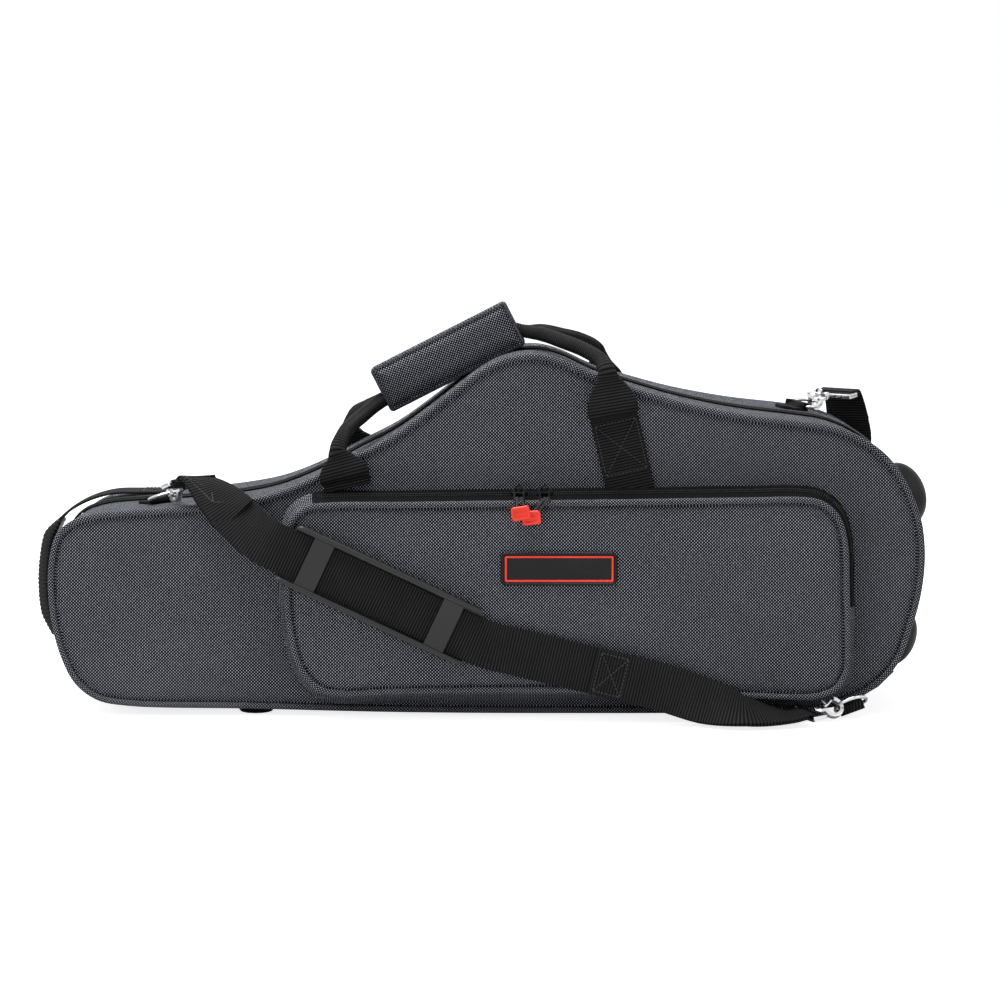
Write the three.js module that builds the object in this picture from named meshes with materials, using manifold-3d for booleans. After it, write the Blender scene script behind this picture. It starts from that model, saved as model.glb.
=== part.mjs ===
// Alto saxophone case: two shaped foam shells closed by a zip, with a front pocket, joined carry handles,
// a clipped shoulder strap and a fitted interior. Millimetres, +X towards the bell end, -Y to the front, +Z up.
import * as THREE from 'three';
import { mergeVertices } from 'three/addons/utils/BufferGeometryUtils.js';
import Module from 'manifold-3d';

// Driving dimensions of the whole case
const caseLength = 694;
const caseHeight = 283;
const floorClearance = 5;
const frontDepth = 100;
const rearDepth = 80;
const seatGap = 0.3;

// Shells, their edge piping and the main zip
const shell = {
  wall: 9, crown: 2.5, edgeChamfer: 3.5, panelInset: 18, zipHalfGap: 1, rearRound: 7, rearSwell: 4,
};
const piping = { radius: 2.4, sides: 6 };
const zip = { tapeWidth: 13, tapeThickness: 0.9, coilWidth: 3, coilHeight: 1.7, halfGap: 0.2 };
const hingeTape = { halfWidth: 14, rise: 1.4, endShare: 0.04 };

// Plush foam inserts and the hollows in them
const insert = { bodyHollow: 56, compartmentDepth: 52 };
const neckBox = { length: 128, height: 34, leftShare: 0.155, bottomShare: 0.385 };
const mouthpieceBox = { length: 50, height: 104, leftShare: 0.036, bottomShare: 0.095 };
const bellBlock = { length: 46, height: 52, depth: 40, leftShare: 0.47, bottomShare: 0.6, slopeShare: 0.3 };

// Main zip sliders and their pulls
const slider = {
  length: 12, width: 9, height: 3.2, lift: 0.3, bailHeight: 3.8, bailWidth: 3, bailBar: 1.3, bailSpan: 8,
};
const mainPull = { length: 22, width: 7.4, thickness: 1.6, eyeLength: 5.4, eyeWidth: 4.2, rim: 1.4 };
const mainSliders = { upperShare: 0.787, lowerShare: 0.815 };

// Front pocket
const pocket = {
  lengthShare: 0.637, height: 157, leftShare: 0.2745, bottom: 21, depth: 28, crown: 3, chamfer: 3.5,
  panel: 4, gusset: 2.6, flare: 6, drop: 5, zipInset: 12, coilWidth: 2.4, coilHeight: 1.5,
  zipHalfGap: 0.3,
};
const pocketSliderSize = {
  length: 13, width: 8, height: 3, lift: 0.5, bailHeight: 3.8, bailWidth: 3, bailBar: 1.2, bailSpan: 7,
};
const pocketLink = { length: 23, width: 9, wire: 1.6, tiltDegrees: 17 };
const redTab = {
  length: 13, width: 14, thickness: 3.4, corner: 3, neck: 4.6, neckWidth: 4.8, hole: 2.6, overrun: 0.5,
};
const pocketSliders = { leftShare: 0.5375, rightShare: 0.5665 };
const badge = { length: 90, height: 25, thickness: 1.8, corner: 4, centreShares: [0.4844, 0.677] };

// Carry handles
const web = { width: 38, thickness: 2 };
const handle = {
  tube: 5, sides: 8, steps: 26, midPlane: -10, foldGap: 0.6, apexWidth: 11, apexThickness: 9,
  webLeft: 7, webClearance: 1.4,
};
const grip = {
  length: 118, height: 36, leaf: 13.4, corner: 5, bevel: 3, halfGap: 0.3, tubeClearance: 0.3,
  centreShare: [0.4535, 0.995], slopeDegrees: 26,
};

// Shoulder strap and its moulded pad
const strap = {
  thickness: 1.8, stand: 7.5, lead: 4, steps: 5, nearShare: 0.93, endRise: 7.2, topRise: 13.2,
  topShare: 1.12,
};
const pad = {
  length: 163, width: 49, thickness: 7, corner: 7, slotWidth: 40, slotThickness: 2.8, bridge: 17,
  windowGap: 95,
};

// Tab, ring, swivel hook and eye of each strap end
const tab = { width: 20, sheet: 1.4, sewnLength: 12, room: 0.4 };
const ring = { wire: 1.8, halfWidth: 13, straight: 9, sides: 6, arcSteps: 8 };
const hook = {
  inner: 5.6, outer: 8.6, thickness: 4.6, room: 0.6, openDegrees: 110, barrel: 3.4, barrelLength: 5,
  neck: 8, shank: 2.4,
};
const gate = {
  thickness: 3.6, bar: 2, thumb: 4.4, thumbWidth: 2.6, room: 0.35, inset: 1.2, thumbShare: 0.5,
};
const eye = { length: 12, thickness: 3.2, wall: 3, slotLength: 4.6, slotMargin: 0.8 };

// End handle, feet and guards
const endHandle = { width: 34, web: 2, gripThickness: 9, gripSwell: 1.4, depthShare: 0.32, ribs: 15 };
const foot = { radius: 18, flat: 13, rise: 4, sides: 14, waistShare: 0.55 };
const bumper = { reach: 21, halfWidth: 14, halfLength: 27, depthShare: 0.29 };
const guard = { thickness: 8.6, edge: 3, frontShare: 0.8, backShare: 0.44 };
const guardFromShare = 0.88;
const guardToShare = 0.955;

// Outline of the shells as shares of length and height, clockwise from the bottom as seen from the front
const outlineShares = [
  [0.401, 0.003], [0.228, 0.013], [0.086, 0.021], [0.052, 0.037], [0.029, 0.08], [0.016, 0.138], [0.005, 0.229],
  [0, 0.343], [0.002, 0.428], [0.01, 0.496], [0.025, 0.53], [0.051, 0.551], [0.092, 0.561], [0.152, 0.57],
  [0.207, 0.584], [0.254, 0.607], [0.301, 0.652], [0.351, 0.717], [0.393, 0.771], [0.43, 0.835], [0.462, 0.896],
  [0.494, 0.955], [0.517, 0.985], [0.54, 0.999], [0.563, 1], [0.587, 0.985], [0.627, 0.94], [0.674, 0.902],
  [0.724, 0.867], [0.794, 0.832], [0.86, 0.812], [0.896, 0.798], [0.928, 0.767], [0.957, 0.715], [0.98, 0.635],
  [0.995, 0.543], [1, 0.448], [0.997, 0.343], [0.986, 0.232], [0.972, 0.14], [0.951, 0.08], [0.921, 0.037],
  [0.886, 0.014], [0.794, 0.003], [0.586, 0],
];
const outlineSteps = 64;
const zipFromShare = 0.045;
const zipToShare = 0.93;
const centreShares = [0.5, 0.42];

// Outline of the pocket's front as shares of its own length and height
const pocketShares = [
  [0.379, 0.036], [0.184, 0.027], [0.092, 0.018], [0.05, 0.051], [0.021, 0.159], [0.005, 0.338], [0, 0.531],
  [0.001, 0.77], [0.011, 0.896], [0.036, 0.953], [0.077, 0.968], [0.201, 0.971], [0.379, 0.977], [0.556, 0.983],
  [0.734, 0.99], [0.835, 0.994], [0.911, 0.996], [0.951, 0.977], [0.979, 0.906], [0.992, 0.795], [0.997, 0.541],
  [1, 0.287], [0.999, 0.143], [0.983, 0.051], [0.948, 0.005], [0.88, 0], [0.772, 0.015], [0.629, 0.031],
];
const pocketSteps = 48;
const pocketZipFromShare = 0.27;
const pocketZipToShare = 0.73;

// Hollow for the instrument: body tube along the bottom, bow at the right and bell up to the hump
const hollowShares = [
  [0.135, 0.17], [0.135, 0.3], [0.3, 0.33], [0.5, 0.37], [0.6, 0.4], [0.6, 0.46], [0.552, 0.5], [0.54, 0.62],
  [0.545, 0.86], [0.575, 0.9], [0.62, 0.82], [0.72, 0.73], [0.86, 0.68], [0.93, 0.58], [0.955, 0.42], [0.94, 0.25],
  [0.9, 0.13], [0.83, 0.09], [0.6, 0.1], [0.3, 0.14],
];

// Materials
const cloth = { color: 0x3b3e44, roughness: 0.85, metalness: 0 };
const blackWeb = { color: 0x121213, roughness: 0.8, metalness: 0 };
const rubber = { color: 0x1a1a1b, roughness: 0.7, metalness: 0 };
const moulded = { color: 0x161617, roughness: 0.55, metalness: 0 };
const red = { color: 0xd8281c, roughness: 0.45, metalness: 0 };
const blackMetal = { color: 0x202022, roughness: 0.4, metalness: 0.6 };
const chrome = { color: 0xd7d9dc, roughness: 0.15, metalness: 1 };
const plush = { color: 0x2a2a2c, roughness: 0.95, metalness: 0 };

const wasm = await Module();
wasm.setup();

const model = new THREE.Group();
const upward = new THREE.Vector3(0, 0, 1);

const vec = (x, y, z) => new THREE.Vector3(x, y, z);
const at = (xShare, y, zShare) => vec((xShare - 0.5) * caseLength, y, floorClearance + zShare * caseHeight);

// Mesh helpers
function faceOutward(geometry) {
  const place = geometry.attributes.position;
  const index = geometry.index.array;
  const [a, b, c] = [vec(), vec(), vec()];
  let volume = 0;
  for (let i = 0; i < index.length; i += 3) {
    a.fromBufferAttribute(place, index[i]);
    b.fromBufferAttribute(place, index[i + 1]);
    c.fromBufferAttribute(place, index[i + 2]);
    volume += a.dot(b.cross(c));
  }
  if (volume < 0) {
    for (let i = 0; i < index.length; i += 3) {
      [index[i + 1], index[i + 2]] = [index[i + 2], index[i + 1]];
    }
  }
  return geometry;
}

function closed(geometry) {
  const bare = geometry.clone();
  bare.deleteAttribute('normal');
  bare.deleteAttribute('uv');
  return faceOutward(mergeVertices(bare, mergeTolerance));
}
const mergeTolerance = 1e-4;

function solid(geometry) {
  const body = closed(geometry);
  return new wasm.Manifold(new wasm.Mesh({
    numProp: 3,
    vertProperties: new Float32Array(body.attributes.position.array),
    triVerts: new Uint32Array(body.index.array),
  }));
}

function fromSolid(body) {
  const mesh = body.getMesh();
  const geometry = new THREE.BufferGeometry();
  geometry.setAttribute('position', new THREE.BufferAttribute(new Float32Array(mesh.vertProperties), 3));
  geometry.setIndex(new THREE.BufferAttribute(new Uint32Array(mesh.triVerts), 1));
  return geometry;
}

function add(parent, name, geometry, look) {
  const mesh = new THREE.Mesh(closed(geometry), new THREE.MeshStandardMaterial(look));
  mesh.name = name;
  parent.add(mesh);
  return mesh;
}

// Joins rings of equal count into a closed body. Ends are apex points, flat caps, or the first ring again.
function loft(rings, { apexFrom, apexTo, loop = false } = {}) {
  const count = rings[0].length;
  const points = rings.flat();
  const faces = [];
  const spans = loop ? rings.length : rings.length - 1;
  for (let k = 0; k < spans; k += 1) {
    const low = k * count;
    const high = ((k + 1) % rings.length) * count;
    for (let i = 0; i < count; i += 1) {
      const j = (i + 1) % count;
      faces.push(low + i, low + j, high + j, low + i, high + j, high + i);
    }
  }
  const cap = (ringNumber, apex, flip) => {
    const base = ringNumber * count;
    if (apex) {
      points.push(apex);
      for (let i = 0; i < count; i += 1) {
        const j = (i + 1) % count;
        const [from, to] = flip ? [j, i] : [i, j];
        faces.push(points.length - 1, base + from, base + to);
      }
      return;
    }
    for (const [i, j, k] of flatCap(rings[ringNumber])) {
      faces.push(...(flip ? [base + k, base + j, base + i] : [base + i, base + j, base + k]));
    }
  };
  if (!loop) {
    cap(0, apexFrom, true);
    cap(rings.length - 1, apexTo, false);
  }
  const geometry = new THREE.BufferGeometry();
  geometry.setFromPoints(points);
  geometry.setIndex(faces);
  return geometry;
}

// Triangles of a flat ring of points, wound the way the ring runs
function flatCap(points) {
  const normal = vec(0, 0, 0);
  points.forEach((p, i) => normal.add(p.clone().cross(points[(i + 1) % points.length])));
  normal.normalize();
  const across = points[1].clone().sub(points[0]).normalize();
  const along = normal.clone().cross(across);
  const flat = points.map((p) => new THREE.Vector2(p.dot(across), p.dot(along)));
  return THREE.ShapeUtils.triangulateShape(flat, []);
}

function tube(points, radius, steps, sides) {
  const shape = new THREE.Shape();
  for (let i = 0; i < sides; i += 1) {
    const turn = (i / sides) * 2 * Math.PI;
    const place = [radius * Math.cos(turn), radius * Math.sin(turn)];
    if (i === 0) shape.moveTo(...place);
    else shape.lineTo(...place);
  }
  shape.closePath();
  const path = new THREE.CatmullRomCurve3(points, false, 'centripetal');
  return new THREE.ExtrudeGeometry(shape, { steps, bevelEnabled: false, extrudePath: path });
}

function roundedShape(length, height, corner) {
  const [x, y] = [length / 2, height / 2];
  const shape = new THREE.Shape();
  shape.moveTo(corner - x, -y);
  shape.lineTo(x - corner, -y);
  shape.absarc(x - corner, corner - y, corner, -Math.PI / 2, 0, false);
  shape.lineTo(x, y - corner);
  shape.absarc(x - corner, y - corner, corner, 0, Math.PI / 2, false);
  shape.lineTo(corner - x, y);
  shape.absarc(corner - x, y - corner, corner, Math.PI / 2, Math.PI, false);
  shape.lineTo(-x, corner - y);
  shape.absarc(corner - x, corner - y, corner, Math.PI, 1.5 * Math.PI, false);
  return shape;
}

function polygon(points) {
  const shape = new THREE.Shape();
  points.forEach((p, i) => (i === 0 ? shape.moveTo(...p) : shape.lineTo(...p)));
  shape.closePath();
  return shape;
}

// Extrusion centred on its own plane
function slab(shape, thickness, curveSegments = 3) {
  const geometry = new THREE.ExtrudeGeometry(shape, { depth: thickness, bevelEnabled: false, curveSegments });
  geometry.translate(0, 0, -thickness / 2);
  return geometry;
}

function box(from, to) {
  const size = to.clone().sub(from);
  const geometry = new THREE.BoxGeometry(Math.abs(size.x), Math.abs(size.y), Math.abs(size.z));
  const middle = from.clone().add(to).multiplyScalar(0.5);
  geometry.translate(middle.x, middle.y, middle.z);
  return geometry;
}

// Local x at an angle in the front plane, local y square to it and local z out to the front
function frontFrame(origin, angle) {
  const along = vec(Math.cos(angle), 0, Math.sin(angle));
  const rise = vec(-Math.sin(angle), 0, Math.cos(angle));
  return new THREE.Matrix4().makeBasis(along, rise, vec(0, -1, 0)).setPosition(origin);
}

function mirrorToRear(geometry) {
  const copy = geometry.clone();
  copy.scale(1, -1, 1);
  copy.translate(0, 2 * handle.midPlane, 0);
  return copy;
}

// Outlines with their outward directions
function outlineOf(curve, steps) {
  return Array.from({ length: steps }, (_, i) => stationOn(curve, i / steps));
}

function stationOn(curve, share) {
  const place = curve.getPoint(share);
  const run = curve.getTangent(share);
  return { x: place.x, z: place.z, nx: -run.z, nz: run.x };
}

const outlinePoints = outlineShares.map(([x, z]) => at(x, 0, z));
const outlineCurve = new THREE.CatmullRomCurve3(outlinePoints, true, 'centripetal');
const outline = outlineOf(outlineCurve, outlineSteps);
const centre = at(centreShares[0], 0, centreShares[1]);

const smooth = (low, high, value) => THREE.MathUtils.smoothstep(value, low, high);

// The bell end's top grows a little towards the back
const swellShares = [0.6, 0.86];
function swell(x, y, z) {
  const xShare = x / caseLength + 0.5;
  const zShare = Math.max(0, z - floorClearance) / caseHeight;
  return shell.rearSwell * (Math.max(0, y) / rearDepth) * smooth(...swellShares, xShare) * zShare;
}

function shellPoint(station, offset, y, share = 1) {
  const x = centre.x + (station.x + station.nx * offset - centre.x) * share;
  const z = centre.z + (station.z + station.nz * offset - centre.z) * share;
  return vec(x, y, z + swell(x, y, z));
}

const shellRing = (offset, y, share = 1) => outline.map((s) => shellPoint(s, offset, y, share));
const innerShare = 0.55;

// A shell from the middle of its outer face, over the edge and down the cavity to the middle of its floor
function shellGeometry(outerRings, depth, side) {
  const floor = side * (depth - shell.wall);
  return loft([
    ...outerRings,
    shellRing(0, side * shell.zipHalfGap),
    shellRing(-shell.wall, side * shell.zipHalfGap),
    shellRing(-shell.wall, floor),
    shellRing(-shell.panelInset, floor, innerShare),
  ], {
    apexFrom: vec(centre.x, side * (depth + shell.crown), centre.z),
    apexTo: vec(centre.x, floor, centre.z),
  });
}

const crownShare = 0.7;
const edgeCrownShare = 0.25;
const frontShell = shellGeometry([
  shellRing(-shell.panelInset, -frontDepth - shell.crown * crownShare, innerShare),
  shellRing(-shell.panelInset, -frontDepth - shell.crown * edgeCrownShare),
  shellRing(-shell.edgeChamfer, -frontDepth),
  shellRing(0, shell.edgeChamfer - frontDepth),
], frontDepth, -1);

const roundShares = [0.3, 0.75];
const rearShell = shellGeometry([
  shellRing(-shell.panelInset, rearDepth + shell.crown * crownShare, innerShare),
  shellRing(-shell.panelInset, rearDepth + shell.crown * edgeCrownShare),
  shellRing(-shell.rearRound, rearDepth),
  shellRing(-shell.rearRound * roundShares[0], rearDepth - shell.rearRound * roundShares[0]),
  shellRing(0, rearDepth - shell.rearRound),
], rearDepth, 1);
add(model, 'front_shell', frontShell, cloth);
add(model, 'rear_shell', rearShell, cloth);

// Sweeps a profile of [offset, y] points along outline stations
function sweep(profile, stations, place, loop) {
  return loft(stations.map((s) => profile.map(([offset, y]) => place(s, offset, y))), { loop });
}

// The stations of a closed outline from one share of it to another, on past its start if need be.
// An inset draws both ends in by a share of the outer steps, so that a neighbour can start there.
function stationsBetween(stations, from, to, insetShare = 0) {
  const [low, high] = [Math.round(from * stations.length), Math.round(to * stations.length)];
  const run = Array.from({ length: high - low + 1 }, (_, i) => ({ ...stations[(low + i) % stations.length] }));
  for (const [end, next] of [[run[0], run[1]], [run.at(-1), run.at(-2)]]) {
    for (const key of Object.keys(end)) end[key] += (next[key] - end[key]) * insetShare;
  }
  return run;
}

function roundProfile(offset, y, radius, sides) {
  return Array.from({ length: sides }, (_, i) => {
    const turn = (i / sides) * 2 * Math.PI;
    return [offset + radius * Math.cos(turn), y + radius * Math.sin(turn)];
  });
}

// The piping lies in the chamfer that the panel and the side band leave between them
function pipingSeat(chamfer) {
  return ((piping.radius + seatGap) * Math.SQRT2 - chamfer) / 2;
}
const frontSeat = pipingSeat(shell.edgeChamfer);
const frontPipingProfile = roundProfile(frontSeat, -frontDepth - frontSeat, piping.radius, piping.sides);
add(model, 'front_piping', sweep(frontPipingProfile, outline, shellPoint, true), cloth);

// Main zip: a tape over each shell's edge with half of the coil standing on it
function zipProfile(side) {
  const tape = seatGap + zip.tapeThickness;
  const coil = seatGap + zip.coilHeight;
  return [
    [seatGap, side * zip.halfGap], [coil, side * zip.halfGap], [coil, side * zip.coilWidth],
    [tape, side * zip.coilWidth], [tape, side * zip.tapeWidth], [seatGap, side * zip.tapeWidth],
  ];
}
const zipStations = stationsBetween(outline, zipFromShare, zipToShare);
add(model, 'front_zip_tape', sweep(zipProfile(-1), zipStations, shellPoint, false), blackWeb);
add(model, 'rear_zip_tape', sweep(zipProfile(1), zipStations, shellPoint, false), blackWeb);

// Hinge tape: cloth spine under the rear shell's bottom edge, folded at the gap between the shells
const hingeStations = stationsBetween(outline, zipToShare, 1 + zipFromShare, hingeTape.endShare);
const hingeProfile = [
  [seatGap, zip.halfGap], [hingeTape.rise, zip.halfGap], [hingeTape.rise, hingeTape.halfWidth],
  [seatGap, hingeTape.halfWidth],
];
add(model, 'hinge_tape', sweep(hingeProfile, hingeStations, shellPoint, false), blackWeb);

// Inserts: foam that fills each shell's cavity, cut by the hollows
function insertBlock(depth, side) {
  const offset = -shell.wall - seatGap;
  const face = side * (shell.zipHalfGap + seatGap);
  const floor = side * (depth - shell.wall - seatGap);
  return solid(loft([shellRing(offset, face), shellRing(offset, floor)], {
    apexFrom: vec(centre.x, face, centre.z), apexTo: vec(centre.x, floor, centre.z),
  }));
}

// A shape drawn in case x and z, cut from the zip plane to a depth
function cutShape(points, depth, side) {
  const rings = [-shell.zipHalfGap * side, depth * side].map((y) => points.map((p) => vec(p.x, y, p.z)));
  return solid(loft(rings));
}

function cutBox(size, depth, side) {
  const low = at(size.leftShare, 0, size.bottomShare);
  const high = low.clone().add(vec(size.length, 0, size.height));
  return cutShape([low, vec(high.x, 0, low.z), high, vec(low.x, 0, high.z)], depth, side);
}
const hollow = hollowShares.map(([x, z]) => at(x, 0, z));
const rearInsert = insertBlock(rearDepth, 1)
  .subtract(cutShape(hollow, insert.bodyHollow, 1))
  .subtract(cutBox(neckBox, insert.compartmentDepth, 1))
  .subtract(cutBox(mouthpieceBox, insert.compartmentDepth, 1));
const frontInsert = insertBlock(frontDepth, -1).subtract(cutShape(hollow, insert.bodyHollow, -1));
add(model, 'rear_insert', fromSolid(rearInsert), plush);
add(model, 'front_insert', fromSolid(frontInsert), plush);

// Bell block: loose-cut foam wedge glued to the hollow's floor inside the bell
const bellLow = at(hollowShares[7][0], 0, hollowShares[7][1]);
const bellBlockShape = polygon([
  [0, 0], [bellBlock.length, bellBlock.height * bellBlock.slopeShare], [bellBlock.length, bellBlock.height],
  [0, bellBlock.height],
]);
const bellOptions = { depth: bellBlock.depth, bevelEnabled: false };
const bellGeometry = new THREE.ExtrudeGeometry(bellBlockShape, bellOptions);
const bellPlace = vec(bellLow.x + 2 * web.thickness, insert.bodyHollow - seatGap, bellLow.z);
bellGeometry.applyMatrix4(frontFrame(bellPlace, 0));
add(model, 'bell_block', bellGeometry, plush);

// Zip slider: a plate over the coil, in a frame with z away from the case. Its bail spans the local x
function sliderGeometry(size, length, width) {
  const body = slab(roundedShape(length, width, size.width / 3), size.height);
  body.translate(0, 0, size.height / 2);
  const outer = size.height + size.bailHeight;
  const bail = box(
    vec(-size.bailSpan / 2, -size.bailWidth / 2, size.height - size.bailBar),
    vec(size.bailSpan / 2, size.bailWidth / 2, outer),
  );
  const window = box(
    vec(size.bailBar - size.bailSpan / 2, -size.bailWidth, size.height),
    vec(size.bailSpan / 2 - size.bailBar, size.bailWidth, outer - size.bailBar),
  );
  return fromSolid(solid(body).add(solid(bail)).subtract(solid(window)));
}

// Flat pull with an eye at its top: local x away from the bail, y across, z through
function mainPullGeometry() {
  const shape = roundedShape(mainPull.length, mainPull.width, mainPull.width / 3);
  const hole = roundedShape(mainPull.eyeLength, mainPull.eyeWidth, mainPull.rim / 2);
  const shift = mainPull.length / 2 - mainPull.eyeLength / 2 - mainPull.rim;
  shape.holes.push(new THREE.Path(hole.getPoints(2).map((p) => p.setX(p.x - shift)).reverse()));
  const geometry = slab(shape, mainPull.thickness, 2);
  geometry.translate(mainPull.length / 2, 0, 0);
  return geometry;
}

function mainSlider(name, share) {
  const group = new THREE.Group();
  const [spot, away] = edgeSeat(share, 0, seatGap + zip.coilHeight + slider.lift);
  const out = away.normalize();
  const through = vec(0, 1, 0);
  group.setRotationFromMatrix(new THREE.Matrix4().makeBasis(through.clone().cross(out), through, out));
  group.position.copy(spot);
  add(group, `${name}_slider`, sliderGeometry(slider, slider.length, slider.width), blackMetal);
  const pull = new THREE.Group();
  pull.position.set(pullStart(slider, mainPull), 0, windowMiddle(slider));
  add(pull, `${name}_pull`, mainPullGeometry(), blackMetal);
  group.add(pull);
  model.add(group);
}

// A pull's rim lies in the bail's window, and its eye takes in the bail's far leg
const windowMiddle = (size) => size.height + (size.bailHeight - size.bailBar) / 2;
const pullStart = (size, pull) => size.bailSpan / 2 + 2 * seatGap - pull.eyeLength - pull.rim;
mainSlider('upper_zip', mainSliders.upperShare);
mainSlider('lower_zip', mainSliders.lowerShare);

// Pocket: a tray that tips open and a rim sewn to the shell, parted by the pocket zip
const pocketLeft = (pocket.leftShare - 0.5) * caseLength;
const pocketLength = pocket.lengthShare * caseLength;
const pocketFace = -frontDepth - pocket.depth;
const pocketBase = -frontDepth - shell.crown - seatGap;
const pocketZipPlane = -frontDepth - pocket.zipInset;
const pocketAt = ([x, z]) => vec(pocketLeft + x * pocketLength, 0, pocket.bottom + z * pocket.height);
const pocketCurve = new THREE.CatmullRomCurve3(pocketShares.map(pocketAt), true, 'centripetal');
const pocketOutline = outlineOf(pocketCurve, pocketSteps);
const pocketCentre = pocketAt([0.5, 0.5]);

// The gusset spreads towards the shell, most of all at the bottom
function pocketPoint(station, offset, y, share = 1) {
  const spread = Math.max(0, (y - pocketFace - pocket.chamfer) / (pocketBase - pocketFace - pocket.chamfer));
  const low = 1 - THREE.MathUtils.clamp((station.z - pocket.bottom) / pocket.height, 0, 1);
  const out = offset + pocket.flare * spread;
  const x = station.x + station.nx * out;
  const z = station.z + station.nz * out - pocket.drop * spread * low * low;
  return vec(pocketCentre.x + (x - pocketCentre.x) * share, y, pocketCentre.z + (z - pocketCentre.z) * share);
}
const pocketRing = (offset, y, share = 1) => pocketOutline.map((s) => pocketPoint(s, offset, y, share));
const trayEdge = pocketZipPlane - pocket.zipHalfGap;
const rimEdge = pocketZipPlane + pocket.zipHalfGap;
const pocketInside = pocketFace + pocket.panel;
add(model, 'pocket_front', loft([
  pocketRing(-shell.panelInset, pocketFace - pocket.crown * crownShare, innerShare),
  pocketRing(-shell.panelInset, pocketFace - pocket.crown * edgeCrownShare),
  pocketRing(-pocket.chamfer, pocketFace),
  pocketRing(0, pocketFace + pocket.chamfer),
  pocketRing(0, trayEdge),
  pocketRing(-pocket.gusset, trayEdge),
  pocketRing(-pocket.gusset, pocketInside),
  pocketRing(-shell.panelInset, pocketInside, innerShare),
], {
  apexFrom: vec(pocketCentre.x, pocketFace - pocket.crown, pocketCentre.z),
  apexTo: vec(pocketCentre.x, pocketInside, pocketCentre.z),
}), cloth);
add(model, 'pocket_rim', loft([
  pocketRing(0, rimEdge), pocketRing(0, pocketBase), pocketRing(-pocket.gusset, pocketBase),
  pocketRing(-pocket.gusset, rimEdge),
], { loop: true }), cloth);

const pocketSeat = pipingSeat(pocket.chamfer);
const pocketPipingProfile = roundProfile(pocketSeat, pocketFace - pocketSeat, piping.radius, piping.sides);
add(model, 'pocket_piping', sweep(pocketPipingProfile, pocketOutline, pocketPoint, true), cloth);

// Pocket zip: half a coil along the edge of the tray and half along the rim
function pocketZipProfile(side) {
  const near = pocketZipPlane + side * pocket.zipHalfGap;
  const far = near + side * pocket.coilWidth;
  const top = seatGap + pocket.coilHeight;
  return [[seatGap, near], [top, near], [top, far], [seatGap, far]];
}
const pocketZipStations = stationsBetween(pocketOutline, pocketZipFromShare, pocketZipToShare);
add(model, 'pocket_zip_front', sweep(pocketZipProfile(-1), pocketZipStations, pocketPoint, false), blackWeb);
add(model, 'pocket_zip_rear', sweep(pocketZipProfile(1), pocketZipStations, pocketPoint, false), blackWeb);

// Pocket pull: a wire link that lies over the piping, and a moulded red tab that hangs on its end.
// The link's local x runs away from the bail's window, y across it
function linkGeometry() {
  const shape = roundedShape(pocketLink.length, pocketLink.width, pocketLink.wire);
  const inner = roundedShape(
    pocketLink.length - 2 * pocketLink.wire, pocketLink.width - 2 * pocketLink.wire, pocketLink.wire / 2,
  );
  shape.holes.push(new THREE.Path(inner.getPoints(2).reverse()));
  const geometry = slab(shape, pocketLink.wire, 2);
  geometry.translate((pocketLink.length - pocketLink.wire) / 2, 0, 0);
  return geometry;
}

// The tab's local x runs along the link's end bar, y up and z to the front
function redTabGeometry() {
  const body = slab(roundedShape(redTab.width, redTab.length, redTab.corner), redTab.thickness, 2);
  body.translate(0, redTab.overrun - (redTab.length + redTab.neck) / 2, 0);
  const half = redTab.neck / 2;
  const neck = box(vec(-redTab.neckWidth / 2, -half, -half), vec(redTab.neckWidth / 2, half, half));
  const bore = box(
    vec(-redTab.neckWidth, -redTab.hole / 2, -redTab.hole / 2),
    vec(redTab.neckWidth, redTab.hole / 2, redTab.hole / 2),
  );
  return fromSolid(solid(body).add(solid(neck)).subtract(solid(bore)));
}

// The sliders lean forward with the gusset that they run on
const gussetLean = Math.atan2(pocket.flare, pocketBase - pocketFace - pocket.chamfer);

function pocketSlider(side, xShare) {
  const x = (xShare - 0.5) * caseLength;
  const top = pocketZipStations.filter((s) => s.nz > s.nx);
  const nearest = top.reduce((a, b) => (Math.abs(b.x - x) < Math.abs(a.x - x) ? b : a));
  const lift = seatGap + pocket.coilHeight + pocketSliderSize.lift;
  const group = new THREE.Group();
  group.position.set(x, pocketZipPlane, pocketPoint(nearest, lift, pocketZipPlane).z);
  group.rotation.x = gussetLean;
  const body = sliderGeometry(pocketSliderSize, pocketSliderSize.width, pocketSliderSize.length);
  add(group, `pocket_slider_${side}`, body.rotateZ(-Math.PI / 2), blackMetal);
  const link = new THREE.Group();
  const linkStart = pocketLink.wire / 2 + seatGap;
  link.position.set(0, linkStart, windowMiddle(pocketSliderSize));
  link.rotation.set(0, THREE.MathUtils.degToRad(pocketLink.tiltDegrees) - gussetLean, -Math.PI / 2, 'ZYX');
  add(link, `pocket_link_${side}`, linkGeometry(), blackMetal);
  group.add(link);
  model.add(group);
  const tabGroup = new THREE.Group();
  model.updateMatrixWorld(true);
  tabGroup.position.copy(link.localToWorld(vec(pocketLink.length - pocketLink.wire, 0, 0)));
  tabGroup.rotation.x = Math.PI / 2;
  add(tabGroup, `pocket_tab_${side}`, redTabGeometry(), red);
  model.add(tabGroup);
}
pocketSlider('left', pocketSliders.leftShare);
pocketSlider('right', pocketSliders.rightShare);

// Badge: a bare rubber patch on the pocket
const badgeGeometry = slab(roundedShape(badge.length, badge.height, badge.corner), badge.thickness);
const badgePlace = pocketAt(badge.centreShares);
badgePlace.y = pocketFace - pocket.crown - seatGap - badge.thickness / 2;
badgeGeometry.applyMatrix4(frontFrame(badgePlace, 0));
add(model, 'badge', badgeGeometry, rubber);

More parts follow.
